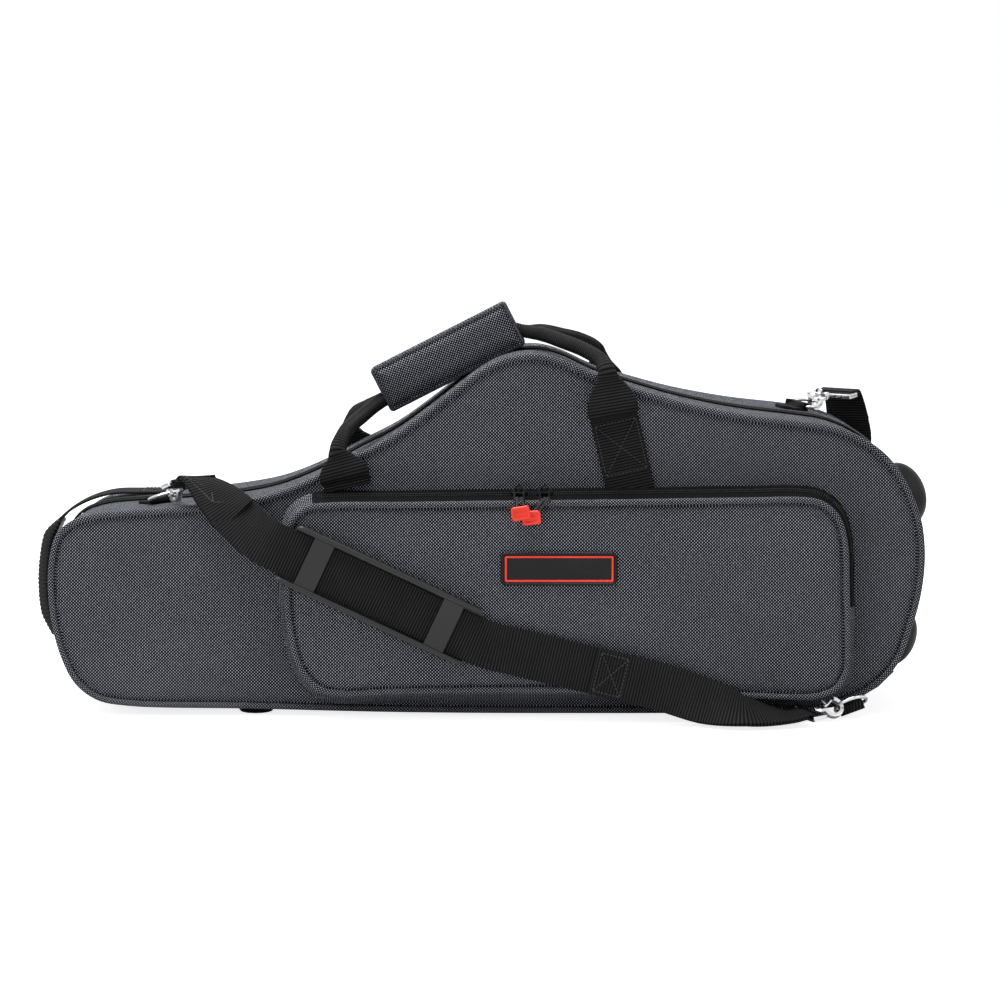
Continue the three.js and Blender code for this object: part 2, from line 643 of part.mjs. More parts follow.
// Carry handles: webs sewn to each panel, flared ends that fold over them, and rolled loops joined by the grip
const panelFace = -frontDepth - shell.crown - seatGap;
const foldRight = at(0.646, panelFace - web.thickness, 0.833);
const foldLeft = at(0.34, panelFace - web.thickness, 0.659);
const foldSlope = Math.atan2(foldRight.z - foldLeft.z, foldRight.x - foldLeft.x);
const webSlope = foldSlope + Math.PI / 2;

function lowerWeb(fold, length) {
  const reach = handle.foldGap + length / 2;
  const down = vec(-Math.cos(webSlope), 0, -Math.sin(webSlope));
  const middle = fold.clone().addScaledVector(down, reach).setY(fold.y + web.thickness / 2);
  const geometry = new THREE.BoxGeometry(length, web.width, web.thickness);
  return geometry.applyMatrix4(frontFrame(middle, webSlope));
}
const underWeb = (s) => s.nz > s.nx && s.x > foldRight.x - web.width && s.x < foldRight.x;
const overPocket = pocketOutline.filter(underWeb);
const pocketTop = Math.max(...overPocket.map((s) => pocketPoint(s, 0, pocketBase).z));
const webDrop = foldRight.z - pocketTop - handle.webClearance - Math.sin(foldSlope) * web.width / 2;
const rightWeb = lowerWeb(foldRight, webDrop / Math.cos(foldSlope) - handle.foldGap);
const leftWeb = lowerWeb(foldLeft, handle.webLeft);
add(model, 'front_handle_web_right', rightWeb, blackWeb);
add(model, 'front_handle_web_left', leftWeb, blackWeb);
add(model, 'rear_handle_web_right', mirrorToRear(rightWeb), blackWeb);
add(model, 'rear_handle_web_left', mirrorToRear(leftWeb), blackWeb);

// Rectangle of a flared web: centre, direction across it, width and thickness
function webSection(place, across, through, width, thickness) {
  const wide = across.clone().normalize().multiplyScalar(width / 2);
  const thick = through.clone().normalize().multiplyScalar(thickness / 2);
  return [
    place.clone().sub(wide).sub(thick), place.clone().add(wide).sub(thick),
    place.clone().add(wide).add(thick), place.clone().sub(wide).add(thick),
  ];
}

function flare(fold, apex) {
  const across = vec(Math.cos(foldSlope), 0, Math.sin(foldSlope));
  const foot = fold.clone().add(vec(0, web.thickness / 2, 0));
  const middle = foot.clone().lerp(apex, flareMiddleShare).setY(foot.y - web.thickness / 2);
  return loft([
    webSection(foot, across, vec(0, 1, 0), web.width, web.thickness),
    webSection(middle, across, vec(0, 1, 0), web.width * flareWidthShare, 2 * web.thickness),
    webSection(apex, vec(1, 0, 0), apexLean, handle.apexWidth, handle.apexThickness),
  ]);
}
const flareMiddleShare = 0.55;
const flareWidthShare = 0.8;
const apexLean = vec(0, 1, 0.4);

const gripSlope = THREE.MathUtils.degToRad(grip.slopeDegrees);
const gripCentre = at(grip.centreShare[0], handle.midPlane, grip.centreShare[1]);
const leafPlane = handle.midPlane - grip.halfGap - grip.leaf / 2;
const gripAlong = vec(Math.cos(gripSlope), 0, Math.sin(gripSlope));
const onGrip = (share) => gripCentre.clone().setY(leafPlane).addScaledVector(gripAlong, share * grip.length);

const apexPlane = -frontDepth - frontSeat - piping.radius - seatGap - handle.apexThickness / 2;
const apexRight = at(0.637, apexPlane, 0.965);
const apexLeft = at(0.331, apexPlane, 0.74);
const leftRouteShares = [[0.336, 0.94, 0.785], [0.35, 0.66, 0.825], [0.364, 0.4, 0.868], [0.375, 0.24, 0.905]];
const gripRouteShares = [-0.42, 0, 0.42];
const rightRouteShares = [
  [0.545, 0.24, 1.072], [0.567, 0.38, 1.063], [0.589, 0.56, 1.04], [0.612, 0.76, 1.018], [0.631, 0.95, 0.99],
];
const routePoint = ([x, depth, z]) => at(x, -depth * frontDepth, z);
const loopRoute = [
  apexLeft, ...leftRouteShares.map(routePoint), ...gripRouteShares.map(onGrip),
  ...rightRouteShares.map(routePoint), apexRight,
];
const loopTube = tube(loopRoute, handle.tube, handle.steps, handle.sides);
const loopGeometry = fromSolid(solid(loopTube)
  .add(solid(flare(foldRight, apexRight)))
  .add(solid(flare(foldLeft, apexLeft))));
add(model, 'front_handle_loop', loopGeometry, blackWeb);
add(model, 'rear_handle_loop', mirrorToRear(loopGeometry), blackWeb);

// Grip leaves: padded halves, each sewn round its own loop
const leafShape = roundedShape(grip.length - 2 * grip.bevel, grip.height - 2 * grip.bevel, grip.corner);
const leafGeometry = new THREE.ExtrudeGeometry(leafShape, {
  depth: grip.leaf - 2 * grip.bevel, bevelSize: grip.bevel, bevelThickness: grip.bevel,
  bevelSegments: 2, curveSegments: 3,
});
leafGeometry.translate(0, 0, grip.bevel - grip.leaf / 2);
leafGeometry.applyMatrix4(frontFrame(onGrip(0), gripSlope));
const loopRoom = tube(loopRoute, handle.tube + grip.tubeClearance, handle.steps, handle.sides);
const frontLeaf = fromSolid(solid(leafGeometry).subtract(solid(loopRoom)));
add(model, 'front_grip_leaf', frontLeaf, cloth);
add(model, 'rear_grip_leaf', mirrorToRear(frontLeaf), cloth);

// Webbing along a route: each stop has a place and a tilt of its width about the route's own direction
function webbing(stops, width, thickness) {
  const path = new THREE.CatmullRomCurve3(stops.map((s) => s.place), false, 'centripetal');
  const steps = (stops.length - 1) * strap.steps;
  const rings = Array.from({ length: steps + 1 }, (_, i) => {
    const spot = (i / steps) * (stops.length - 1);
    const low = Math.min(Math.floor(spot), stops.length - 2);
    const face = stops[low].face.clone().lerp(stops[low + 1].face, spot - low).normalize();
    const run = path.getTangent(i / steps);
    const across = run.clone().cross(face).normalize();
    return webSection(path.getPoint(i / steps), across, across.clone().cross(run), width, thickness);
  });
  return loft(rings);
}
const stop = (xShare, y, zShare, face) => ({ place: at(xShare, y, zShare), face: vec(...face) });

// Shoulder strap: from the eye on the top band, down over the pocket to the eye on the floor
const strapPlane = pocketFace - strap.stand;
const ahead = [0, -1, 0];
const strapStops = [
  stop(0.205, -strap.topShare * frontDepth, 0.582, [0.05, -0.75, 0.55]),
  stop(0.234, strapPlane * strap.nearShare, 0.522, [0, -1, 0.12]),
  stop(0.262, strapPlane, 0.482, ahead),
  stop(0.286, strapPlane, 0.455, ahead),
  stop(0.384, strapPlane, 0.342, ahead),
  stop(0.472, strapPlane, 0.24, ahead),
  stop(0.535, strapPlane, 0.187, ahead),
  stop(0.622, strapPlane, 0.135, ahead),
  stop(0.705, strapPlane - web.thickness, 0.085, [0, -1, 0.1]),
  stop(0.748, strapPlane - strap.endRise, 0.053, [0, -1, 0.5]),
  stop(0.793, strapPlane - strap.topRise, 0.028, [0, -0.5, 1]),
];

// Strap pad: a moulded plate with a slot for the webbing, open between its bridges
const padFrom = strapStops[3].place;
const padTo = strapStops[5].place;
const padSlope = Math.atan2(padTo.z - padFrom.z, padTo.x - padFrom.x);
const padCentre = padFrom.clone().lerp(padTo, 0.5);
const padBody = solid(slab(roundedShape(pad.length, pad.width, pad.corner), pad.thickness));
const slotCut = (from, to, low, high) => solid(box(
  vec(from, -pad.slotWidth / 2, low), vec(to, pad.slotWidth / 2, high),
));
const padTop = pad.thickness;
const halfSlot = pad.slotThickness / 2;
const bridgeFar = pad.windowGap / 2 + pad.bridge;
const padGeometry = fromSolid(padBody
  .subtract(slotCut(-pad.length, pad.length, -halfSlot, halfSlot))
  .subtract(slotCut(-pad.windowGap / 2, pad.windowGap / 2, 0, padTop))
  .subtract(slotCut(bridgeFar, pad.length, 0, padTop))
  .subtract(slotCut(-pad.length, -bridgeFar, 0, padTop)));
padGeometry.applyMatrix4(frontFrame(padCentre, padSlope));
add(model, 'shoulder_pad', padGeometry, moulded);

// Strap end chain: a sewn tab, a ring hinged in it, a swivel hook in the ring's bow and the strap's eye.
// Each frame has x towards the strap and y away from the case. Tab and ring start at the bar, the rest at the bow
const barHeight = tab.sheet + tab.room + ring.wire;
const hookCentre = ring.halfWidth + hook.inner - ring.wire - hook.room;
const barrelFrom = hookCentre + hook.outer + hook.neck - hook.barrelLength;
const eyeFrom = barrelFrom + hook.barrelLength + seatGap;
const chainEnd = eyeFrom + eye.length + seatGap;

function tabGeometry() {
  const side = ring.wire + tab.room + tab.sheet;
  const shape = polygon([
    [-side - tab.sewnLength, 0], [side, 0], [side, 2 * side], [-side, 2 * side], [-side, 2 * tab.sheet],
    [-side - tab.sewnLength, 2 * tab.sheet],
  ]);
  const inner = ring.wire + tab.room;
  shape.holes.push(new THREE.Path([
    new THREE.Vector2(-inner, tab.sheet), new THREE.Vector2(-inner, 2 * side - tab.sheet),
    new THREE.Vector2(inner, 2 * side - tab.sheet), new THREE.Vector2(inner, tab.sheet),
  ]));
  return slab(shape, tab.width);
}

function ringGeometry() {
  const path = [[0, 1], [0, -1]].map(([x, side]) => [x, side * ring.halfWidth, vec(-1, 0, side)]);
  for (let i = 0; i <= ring.arcSteps; i += 1) {
    const turn = (i / ring.arcSteps - 0.5) * Math.PI;
    const out = vec(Math.cos(turn), 0, Math.sin(turn));
    path.push([ring.straight + ring.halfWidth * out.x, ring.halfWidth * out.z, out]);
  }
  return loft(path.map(([x, z, out]) => {
    const side = out.clone().normalize();
    return roundProfile(0, 0, ring.wire, ring.sides).map(([a, b]) => vec(x + side.x * a, b, z + side.z * a));
  }), { loop: true });
}

function hookGeometry() {
  const open = THREE.MathUtils.degToRad(hook.openDegrees);
  const shape = new THREE.Shape();
  shape.absarc(0, 0, hook.outer, open, 2 * Math.PI, false);
  shape.lineTo(hook.inner, 0);
  shape.absarc(0, 0, hook.inner, 2 * Math.PI, open, true);
  shape.closePath();
  const arc = slab(shape, hook.thickness, 10);
  arc.translate(hookCentre, 0, 0);
  const shank = box(
    vec(hookCentre + hook.inner + gate.room, -hook.shank, -hook.thickness / 2),
    vec(barrelFrom + gate.room, 0, hook.thickness / 2),
  );
  const barrel = new THREE.CylinderGeometry(hook.barrel, hook.barrel, hook.barrelLength, 10);
  barrel.rotateZ(Math.PI / 2);
  barrel.translate(barrelFrom + hook.barrelLength / 2, 0, 0);
  return fromSolid(solid(arc).add(solid(shank)).add(solid(barrel)));
}

// The gate closes the hook's mouth as a chord from the shank side to the tip, with a thumb nub outside
function gateGeometry() {
  const middle = (hook.inner + hook.outer) / 2;
  const from = new THREE.Vector2(middle, gate.room + gate.inset);
  const open = THREE.MathUtils.degToRad(hook.openDegrees);
  const tip = new THREE.Vector2(middle * Math.cos(open), middle * Math.sin(open));
  const run = tip.clone().sub(from);
  const length = run.length() - gate.inset - gate.room;
  const thumb = length * gate.thumbShare;
  const half = gate.bar / 2;
  const shape = polygon([
    [0, -half], [length, -half], [length, half], [thumb, half], [thumb, half + gate.thumb],
    [thumb - gate.thumbWidth, half + gate.thumb], [thumb - gate.thumbWidth, half], [0, half],
  ]);
  const geometry = slab(shape, gate.thickness);
  geometry.scale(1, -1, 1);
  geometry.rotateZ(run.angle());
  geometry.translate(hookCentre + from.x, from.y, 0);
  return geometry;
}

function eyeGeometry() {
  const width = web.width + 2 * eye.slotMargin + 2 * eye.wall;
  const shape = roundedShape(eye.length, width, eye.wall / 2);
  const slot = roundedShape(eye.slotLength, width - 2 * eye.wall, eye.wall / 3);
  const shift = eye.length / 2 - eye.wall - eye.slotLength / 2;
  shape.holes.push(new THREE.Path(slot.getPoints(1).map((p) => p.setX(p.x + shift)).reverse()));
  const geometry = slab(shape, eye.thickness, 2);
  geometry.rotateX(Math.PI / 2);
  geometry.translate(eyeFrom + eye.length / 2, 0, 0);
  return geometry;
}

function frameAt(place, along, away) {
  const group = new THREE.Group();
  const run = along.clone().normalize();
  const lift = away.clone().addScaledVector(run, -away.dot(run)).normalize();
  group.setRotationFromMatrix(new THREE.Matrix4().makeBasis(run, lift, run.clone().cross(lift)));
  group.position.copy(place);
  model.add(group);
  return group;
}

// Adds a chain and returns the two stops that a strap starts with at its eye
function strapEnd(prefix, spot, away, place) {
  const seatNormal = away.clone().normalize();
  const alongSeat = place.along.clone().addScaledVector(seatNormal, -place.along.dot(seatNormal));
  const tabFrame = frameAt(spot, alongSeat, seatNormal);
  add(tabFrame, `${prefix}_tab`, tabGeometry(), blackWeb);
  const ringFrame = new THREE.Group();
  ringFrame.position.y = barHeight;
  ringFrame.rotation.z = THREE.MathUtils.degToRad(place.pitchDegrees);
  add(ringFrame, `${prefix}_ring`, ringGeometry(), chrome);
  const hookFrame = new THREE.Group();
  hookFrame.position.x = ring.straight;
  hookFrame.rotation.set(place.turned ? Math.PI : 0, THREE.MathUtils.degToRad(place.swingDegrees), 0, 'YXZ');
  add(hookFrame, `${prefix}_hook`, hookGeometry(), chrome);
  add(hookFrame, `${prefix}_hook_gate`, gateGeometry(), chrome);
  ringFrame.add(hookFrame);
  tabFrame.add(ringFrame);
  tabFrame.updateMatrixWorld(true);
  const along = vec(1, 0, 0).transformDirection(hookFrame.matrixWorld);
  const eyeFrame = frameAt(hookFrame.localToWorld(vec(0, 0, 0)), along, upward);
  add(eyeFrame, `${prefix}_eye`, eyeGeometry(), chrome);
  eyeFrame.updateMatrixWorld(true);
  const face = vec(0, 1, 0).transformDirection(eyeFrame.matrixWorld);
  const lead = (reach) => ({ place: eyeFrame.localToWorld(vec(reach, 0, 0)), face });
  return [lead(chainEnd), lead(chainEnd + strap.lead)];
}

// A tab's seat on the shell's edge: the spot at an outline share and depth, and the way out from it
function edgeSeat(share, y, offset) {
  const low = Math.floor(share * outlineSteps);
  const [from, to] = [outline[low], outline[low + 1]];
  const part = share * outlineSteps - low;
  const spot = (depth) => shellPoint(from, offset, depth).lerp(shellPoint(to, offset, depth), part);
  const alongEdge = shellPoint(to, offset, y).sub(shellPoint(from, offset, y));
  return [spot(y), alongEdge.cross(spot(y + tab.width).sub(spot(y)))];
}
const tabPlaces = {
  leftShare: 0.276, leftDepthShare: 0.476, rightShare: 0.914, rightDepthShare: 1.09, rearShare: 0.674,
  rearDepthShare: 0.42,
};
const leftSeat = edgeSeat(tabPlaces.leftShare, -tabPlaces.leftDepthShare * frontDepth, seatGap);
const leftLead = strapEnd('left', ...leftSeat, {
  along: vec(0.63, -0.77, 0), pitchDegrees: 18, swingDegrees: 0,
});
const rightOffset = frontSeat + piping.radius + seatGap;
const rightSeat = edgeSeat(tabPlaces.rightShare, -tabPlaces.rightDepthShare * frontDepth, rightOffset);
const rightLead = strapEnd('right', ...rightSeat, {
  along: vec(0, -1, 0), pitchDegrees: -30, swingDegrees: 64, turned: true,
});
const rearSeat = edgeSeat(tabPlaces.rearShare, tabPlaces.rearDepthShare * rearDepth, seatGap);
const rearLead = strapEnd('rear', ...rearSeat, {
  along: vec(0.74, 0.67, 0), pitchDegrees: 12, swingDegrees: 6,
});
const strapRoute = [...leftLead, ...strapStops, ...rightLead.reverse()];
add(model, 'shoulder_strap', webbing(strapRoute, web.width, strap.thickness), blackWeb);

// Second strap: from the rear eye over the top corner and down the rear panel to where it is sewn
const rearFace = rearDepth + shell.crown + seatGap + web.thickness;
const rearStops = [
  ...rearLead,
  stop(0.953, 1.08 * rearDepth, 0.765, [0.4, 0.8, 0.4]),
  stop(0.955, 1.12 * rearDepth, 0.69, [0.1, 1, 0]),
  stop(0.93, rearFace, 0.56, [0, 1, 0]),
  stop(0.8, rearFace, 0.4, [0, 1, 0]),
  stop(0.6, rearFace, 0.24, [0, 1, 0]),
  stop(0.44, rearFace, 0.14, [0, 1, 0]),
];
add(model, 'rear_strap', webbing(rearStops, web.width, strap.thickness), blackWeb);

// End handle: a web from the top band over the corner, and a ribbed rubber grip bowed out from the end
const endPlane = endHandle.depthShare * rearDepth;
const gripRoute = [[-0.013, 0.49], [-0.024, 0.45], [-0.03, 0.38], [-0.032, 0.3], [-0.029, 0.22], [-0.02, 0.155]];
const webRoute = [[0.118, 0.575], [0.085, 0.575], [0.05, 0.572], [0.02, 0.55], [-0.004, 0.515], [-0.0125, 0.494]];
const lowWebRoute = [[-0.0195, 0.151], [-0.008, 0.115], [0.009, 0.092], [0.02, 0.074]];

function endBand(route, thickness, swellBy) {
  const path = new THREE.CatmullRomCurve3(route.map(([x, z]) => at(x, endPlane, z)), false, 'centripetal');
  const steps = swellBy ? 2 * endHandle.ribs : 2 * (route.length - 1);
  const rings = Array.from({ length: steps + 1 }, (_, i) => {
    const run = path.getTangent(i / steps);
    const rib = swellBy && i % 2 === 1 ? swellBy : 0;
    return webSection(path.getPoint(i / steps), vec(0, 1, 0), run.clone().cross(vec(0, 1, 0)),
      endHandle.width + rib, thickness + rib);
  });
  return loft(rings);
}
add(model, 'end_handle_grip', endBand(gripRoute, endHandle.gripThickness, endHandle.gripSwell), rubber);
add(model, 'end_handle_web', endBand(webRoute, endHandle.web), blackWeb);
add(model, 'end_handle_lower_web', endBand(lowWebRoute, endHandle.web), blackWeb);

// Rubber feet: truncated cones under the shells, their tops shaped by the shells' own wall
function wallCutter(low, high) {
  return solid(loft([shellRing(seatGap, low), shellRing(seatGap, high)], {
    apexFrom: vec(centre.x, low, centre.z), apexTo: vec(centre.x, high, centre.z),
  }));
}
const rearWall = wallCutter(0, rearDepth - shell.rearRound);
const frontWall = wallCutter(shell.edgeChamfer - frontDepth, 0);

function footSolid(xShare, y, wall) {
  const top = 2 * floorClearance + foot.rise;
  const profile = [
    [0, 0], [foot.flat, 0], [foot.radius, top * foot.waistShare], [foot.radius, top], [0, top],
  ].map((p) => new THREE.Vector2(...p));
  const geometry = new THREE.LatheGeometry(profile, foot.sides);
  geometry.rotateX(Math.PI / 2);
  geometry.translate((xShare - 0.5) * caseLength, y, 0);
  return solid(geometry).subtract(wall);
}
const footShares = [0.232, 0.84];
const frontFootPlane = foot.radius + 2 * shell.edgeChamfer - frontDepth;
add(model, 'front_foot', fromSolid(footSolid(footShares[0], frontFootPlane, frontWall)), rubber);
const rearFootPlane = rearDepth - shell.rearRound - foot.radius;
add(model, 'rear_foot_left', fromSolid(footSolid(footShares[0], rearFootPlane, rearWall)), rubber);
add(model, 'rear_foot_right', fromSolid(footSolid(footShares[1], rearFootPlane, rearWall)), rubber);

// End bumpers: rubber domes on the front shell's bell end
function bumperGeometry(share) {
  const spot = stationOn(outlineCurve, share);
  const dome = new THREE.SphereGeometry(1, 14, 8);
  dome.rotateX(Math.PI / 2);
  dome.scale(bumper.reach, bumper.halfWidth, bumper.halfLength);
  dome.rotateY(-Math.atan2(spot.nz, spot.nx));
  dome.translate(spot.x, -bumper.depthShare * frontDepth, spot.z);
  return fromSolid(solid(dome).subtract(frontWall));
}
const bumperShares = [0.766, 0.866];
add(model, 'end_bumper_upper', bumperGeometry(bumperShares[0]), rubber);
add(model, 'end_bumper_lower', bumperGeometry(bumperShares[1]), rubber);

// Corner guard: thick rubber round the front shell's lower right corner, flat where it stands on the floor
const guardStations = stationsBetween(outline, guardFromShare, guardToShare);
const [guardFront, guardBack] = [guard.frontShare, guard.backShare].map((share) => -share * frontDepth);
const guardProfile = [
  [seatGap, guardFront], [guard.thickness - guard.edge, guardFront], [guard.thickness, guardFront + guard.edge],
  [guard.thickness, guardBack - guard.edge], [guard.thickness - guard.edge, guardBack], [seatGap, guardBack],
];
const belowFloor = solid(box(vec(-caseLength, -caseLength, -caseHeight), vec(caseLength, caseLength, 0)));
const guardBand = sweep(guardProfile, guardStations, shellPoint, false);
const guardGeometry = fromSolid(solid(guardBand).subtract(belowFloor));
add(model, 'corner_guard', guardGeometry, rubber);

// The origin is the middle of the whole case's footprint, on the floor
model.updateMatrixWorld(true);
const extent = new THREE.Box3().setFromObject(model, true);
const middle = extent.getCenter(vec());
model.position.set(-middle.x, -middle.y, -extent.min.z);
model.updateMatrixWorld(true);

export default model;
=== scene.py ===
import math

import bmesh
import bpy
import numpy as np
from mathutils import Matrix, Vector


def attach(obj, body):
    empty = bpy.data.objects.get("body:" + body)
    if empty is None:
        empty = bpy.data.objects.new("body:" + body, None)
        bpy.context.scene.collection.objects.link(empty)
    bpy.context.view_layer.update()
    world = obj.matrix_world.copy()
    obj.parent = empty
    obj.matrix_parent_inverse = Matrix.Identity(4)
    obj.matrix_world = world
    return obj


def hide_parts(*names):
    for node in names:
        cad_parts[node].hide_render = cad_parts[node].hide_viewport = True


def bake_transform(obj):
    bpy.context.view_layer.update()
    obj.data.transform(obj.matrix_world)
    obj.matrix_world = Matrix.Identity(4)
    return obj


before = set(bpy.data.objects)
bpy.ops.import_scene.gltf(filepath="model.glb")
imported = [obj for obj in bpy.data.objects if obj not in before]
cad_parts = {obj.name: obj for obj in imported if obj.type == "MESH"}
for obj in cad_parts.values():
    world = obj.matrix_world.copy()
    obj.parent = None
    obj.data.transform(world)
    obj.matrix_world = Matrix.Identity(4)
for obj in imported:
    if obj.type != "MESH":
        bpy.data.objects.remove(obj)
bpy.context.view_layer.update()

# Camera: the photograph's view, a long lens a little above the case and square to its front
camera_place = (0.0179, -2.4652, 0.452)
camera_down = math.radians(6.6)
camera_lens = 109.4
camera_sensor = 36
camera_reach = 20


def placed(name, data):
    """A new object in the scene."""
    item = bpy.data.objects.new(name, data)
    bpy.context.scene.collection.objects.link(item)
    return item


camera_data = bpy.data.cameras.new("camera")
camera_data.lens = camera_lens
camera_data.sensor_width = camera_sensor
camera_data.clip_end = camera_reach
camera = placed("camera", camera_data)
camera.location = camera_place
camera.rotation_euler = (math.pi / 2 - camera_down, 0, 0)
bpy.context.scene.camera = camera
bpy.context.scene.view_settings.view_transform = "Standard"

# Studio: a wide floor that shows white to the camera and keeps the case's soft shadow, and plain soft lamps
floor_half = 40.0
floor_glow = 0.82
floor_colour = (0.8, 0.8, 0.8, 1)
white = (1, 1, 1, 1)
world_strength = 0.38
lamp_aim = Vector((0, 0, 0.15))
lamp_table = {
    "lamp_top": ((-0.4, -0.2, 2.2), 1.6, 64),
    "lamp_left": ((-1.6, -1.9, 1.3), 1.2, 11.5),
    "lamp_right": ((2.1, -1.3, 1.0), 1.4, 3.5),
    "lamp_back": ((0.0, 2.0, 1.9), 1.6, 12),
}


def node_maker(tree):
    """Returns a function that adds a node, sets its inputs by value or link, and gives its first output."""
    def make(kind, inputs=(), out=0, **settings):
        node = tree.nodes.new(kind)
        for key, value in settings.items():
            setattr(node, key, value)
        for key, value in dict(inputs).items():
            if isinstance(value, bpy.types.NodeSocket):
                tree.links.new(value, node.inputs[key])
            elif value is not None:
                node.inputs[key].default_value = value
        return node.outputs[out]
    return make


def new_material(name):
    material = bpy.data.materials.new(name)
    material.use_nodes = True
    material.node_tree.nodes.clear()
    return material, node_maker(material.node_tree)


def close_tree(tree, shader, kind="ShaderNodeOutputMaterial"):
    tree.links.new(shader, tree.nodes.new(kind).inputs["Surface"])


floor_corners = [(x * floor_half, y * floor_half, 0) for x, y in ((-1, -1), (1, -1), (1, 1), (-1, 1))]
floor_mesh = bpy.data.meshes.new("floor")
floor_mesh.from_pydata(floor_corners, [], [(0, 1, 2, 3)])
floor = placed("floor", floor_mesh)
paper, make = new_material("floor_white")
glow_strength = make("ShaderNodeMath", {0: make("ShaderNodeLightPath"), 1: floor_glow}, operation="MULTIPLY")
glow = make("ShaderNodeEmission", {"Color": white, "Strength": glow_strength})
matt = make("ShaderNodeBsdfDiffuse", {"Color": floor_colour})
close_tree(paper.node_tree, make("ShaderNodeAddShader", {0: matt, 1: glow}))
floor_mesh.materials.append(paper)

world = bpy.data.worlds.new("studio")
world.use_nodes = True
world.node_tree.nodes.clear()
make = node_maker(world.node_tree)
rays = world.node_tree.nodes.new("ShaderNodeLightPath").outputs
direct = make("ShaderNodeMath", {0: rays["Is Camera Ray"], 1: rays["Is Glossy Ray"]}, operation="MAXIMUM")
direct = make("ShaderNodeMath", {0: direct, 1: rays["Is Transmission Ray"]}, operation="MAXIMUM")
dim = make("ShaderNodeBackground", {"Color": white, "Strength": world_strength})
bright = make("ShaderNodeBackground", {"Color": white, "Strength": 1.0})
sky = make("ShaderNodeMixShader", {0: direct, 1: dim, 2: bright})
close_tree(world.node_tree, sky, "ShaderNodeOutputWorld")
bpy.context.scene.world = world

for lamp_name, (place, width, power) in lamp_table.items():
    lamp_data = bpy.data.lights.new(lamp_name, "AREA")
    lamp_data.shape = "DISK"
    lamp_data.size = width
    lamp_data.energy = power
    lamp = placed(lamp_name, lamp_data)
    lamp.location = place
    lamp.rotation_euler = (lamp_aim - Vector(place)).to_track_quat("-Z", "Y").to_euler()

# Shells: two moulded foam halves covered in coarse ballistic cloth outside and lined with plain cloth inside.
# The front one is the lid, its flat panel piped where it meets the side band. The rear one has a rounded edge.
case_middle = Vector((0.00687, 0.03478, 0))
case_length = 0.694
case_height = 0.283
floor_gap = 0.005
front_depth = 0.100
rear_depth = 0.080
shell_wall = 0.009
shell_crown = 0.0025
shell_middle_share = 0.42
panel_inset = 0.018
seam_chamfer = 0.0035
seam_valley = 0.0014
rear_round = 0.007
rear_rise = 0.0004
rear_drop = 0.03
parting_gap = 0.001
lining_corner = (0.003, 0.004)
rear_swell = 0.004
swell_from_share = 0.6
swell_reach_share = 0.26
outline_count = 420
outline_shares = [
    (0.401, 0.003), (0.228, 0.013), (0.086, 0.021), (0.052, 0.037), (0.029, 0.08), (0.016, 0.138), (0.005, 0.229),
    (0, 0.343), (0.002, 0.428), (0.01, 0.496), (0.025, 0.53), (0.051, 0.551), (0.092, 0.561), (0.152, 0.57),
    (0.207, 0.584), (0.254, 0.607), (0.301, 0.652), (0.351, 0.717), (0.393, 0.771), (0.43, 0.835), (0.462, 0.896),
    (0.494, 0.955), (0.517, 0.985), (0.54, 0.999), (0.563, 1), (0.587, 0.985), (0.627, 0.94), (0.674, 0.902),
    (0.724, 0.867), (0.794, 0.832), (0.86, 0.812), (0.896, 0.798), (0.928, 0.767), (0.957, 0.715), (0.98, 0.635),
    (0.995, 0.543), (1, 0.448), (0.997, 0.343), (0.986, 0.232), (0.972, 0.14), (0.951, 0.08), (0.921, 0.037),
    (0.886, 0.014), (0.794, 0.003), (0.586, 0),
]
panel_shares = (0.2, 0.4, 0.6, 0.8, 0.92)
inside_shares = (0.9, 0.6, 0.3)
front_edge_steps = [
    (-panel_inset * 0.8, -0.0008, "face"), (-0.0085, -0.0006, "face"), (-0.0055, 0.0002, "face"),
    (-0.0038, seam_valley, "face"), (-0.0036, seam_valley, "band"), (-0.0006, seam_chamfer, "band"),
    (0.0003, 0.009, "band"), (0.0006, 0.03, "band"),
]
front_lip_steps = [(0.0006, -0.034), (0.0002, -0.016)]
round_steps = [math.radians(a) for a in (0, 18, 36, 54, 72, 90)]
round_middle = 0.7
rear_lip_steps = [(0.0005, rear_depth - rear_drop), (0.0003, 0.016)]
sharp_edge = math.radians(40)
spline_steps = 24
weave_pitch = 0.00255
yarn_half_shares = (0.205, 0.335)
cloth_ground = (0.0025, 0.0025, 0.003, 1)
cloth_thread = (0.545, 0.57, 0.655, 1)
cloth_bump = (0.55, 0.0006)
woven_specular = 0.05
lining_pitch = 0.0011
lining_thread = (0.05, 0.05, 0.055, 1)


def at(x_share, y, z_share):
    """A point of the case from shares of its length and height, and a depth measured from the zip."""
    return case_middle + Vector(((x_share - 0.5) * case_length, y, floor_gap + z_share * case_height))


def running_length(points):
    return np.concatenate([[0], np.cumsum(np.linalg.norm(np.diff(points, axis=0), axis=1))])


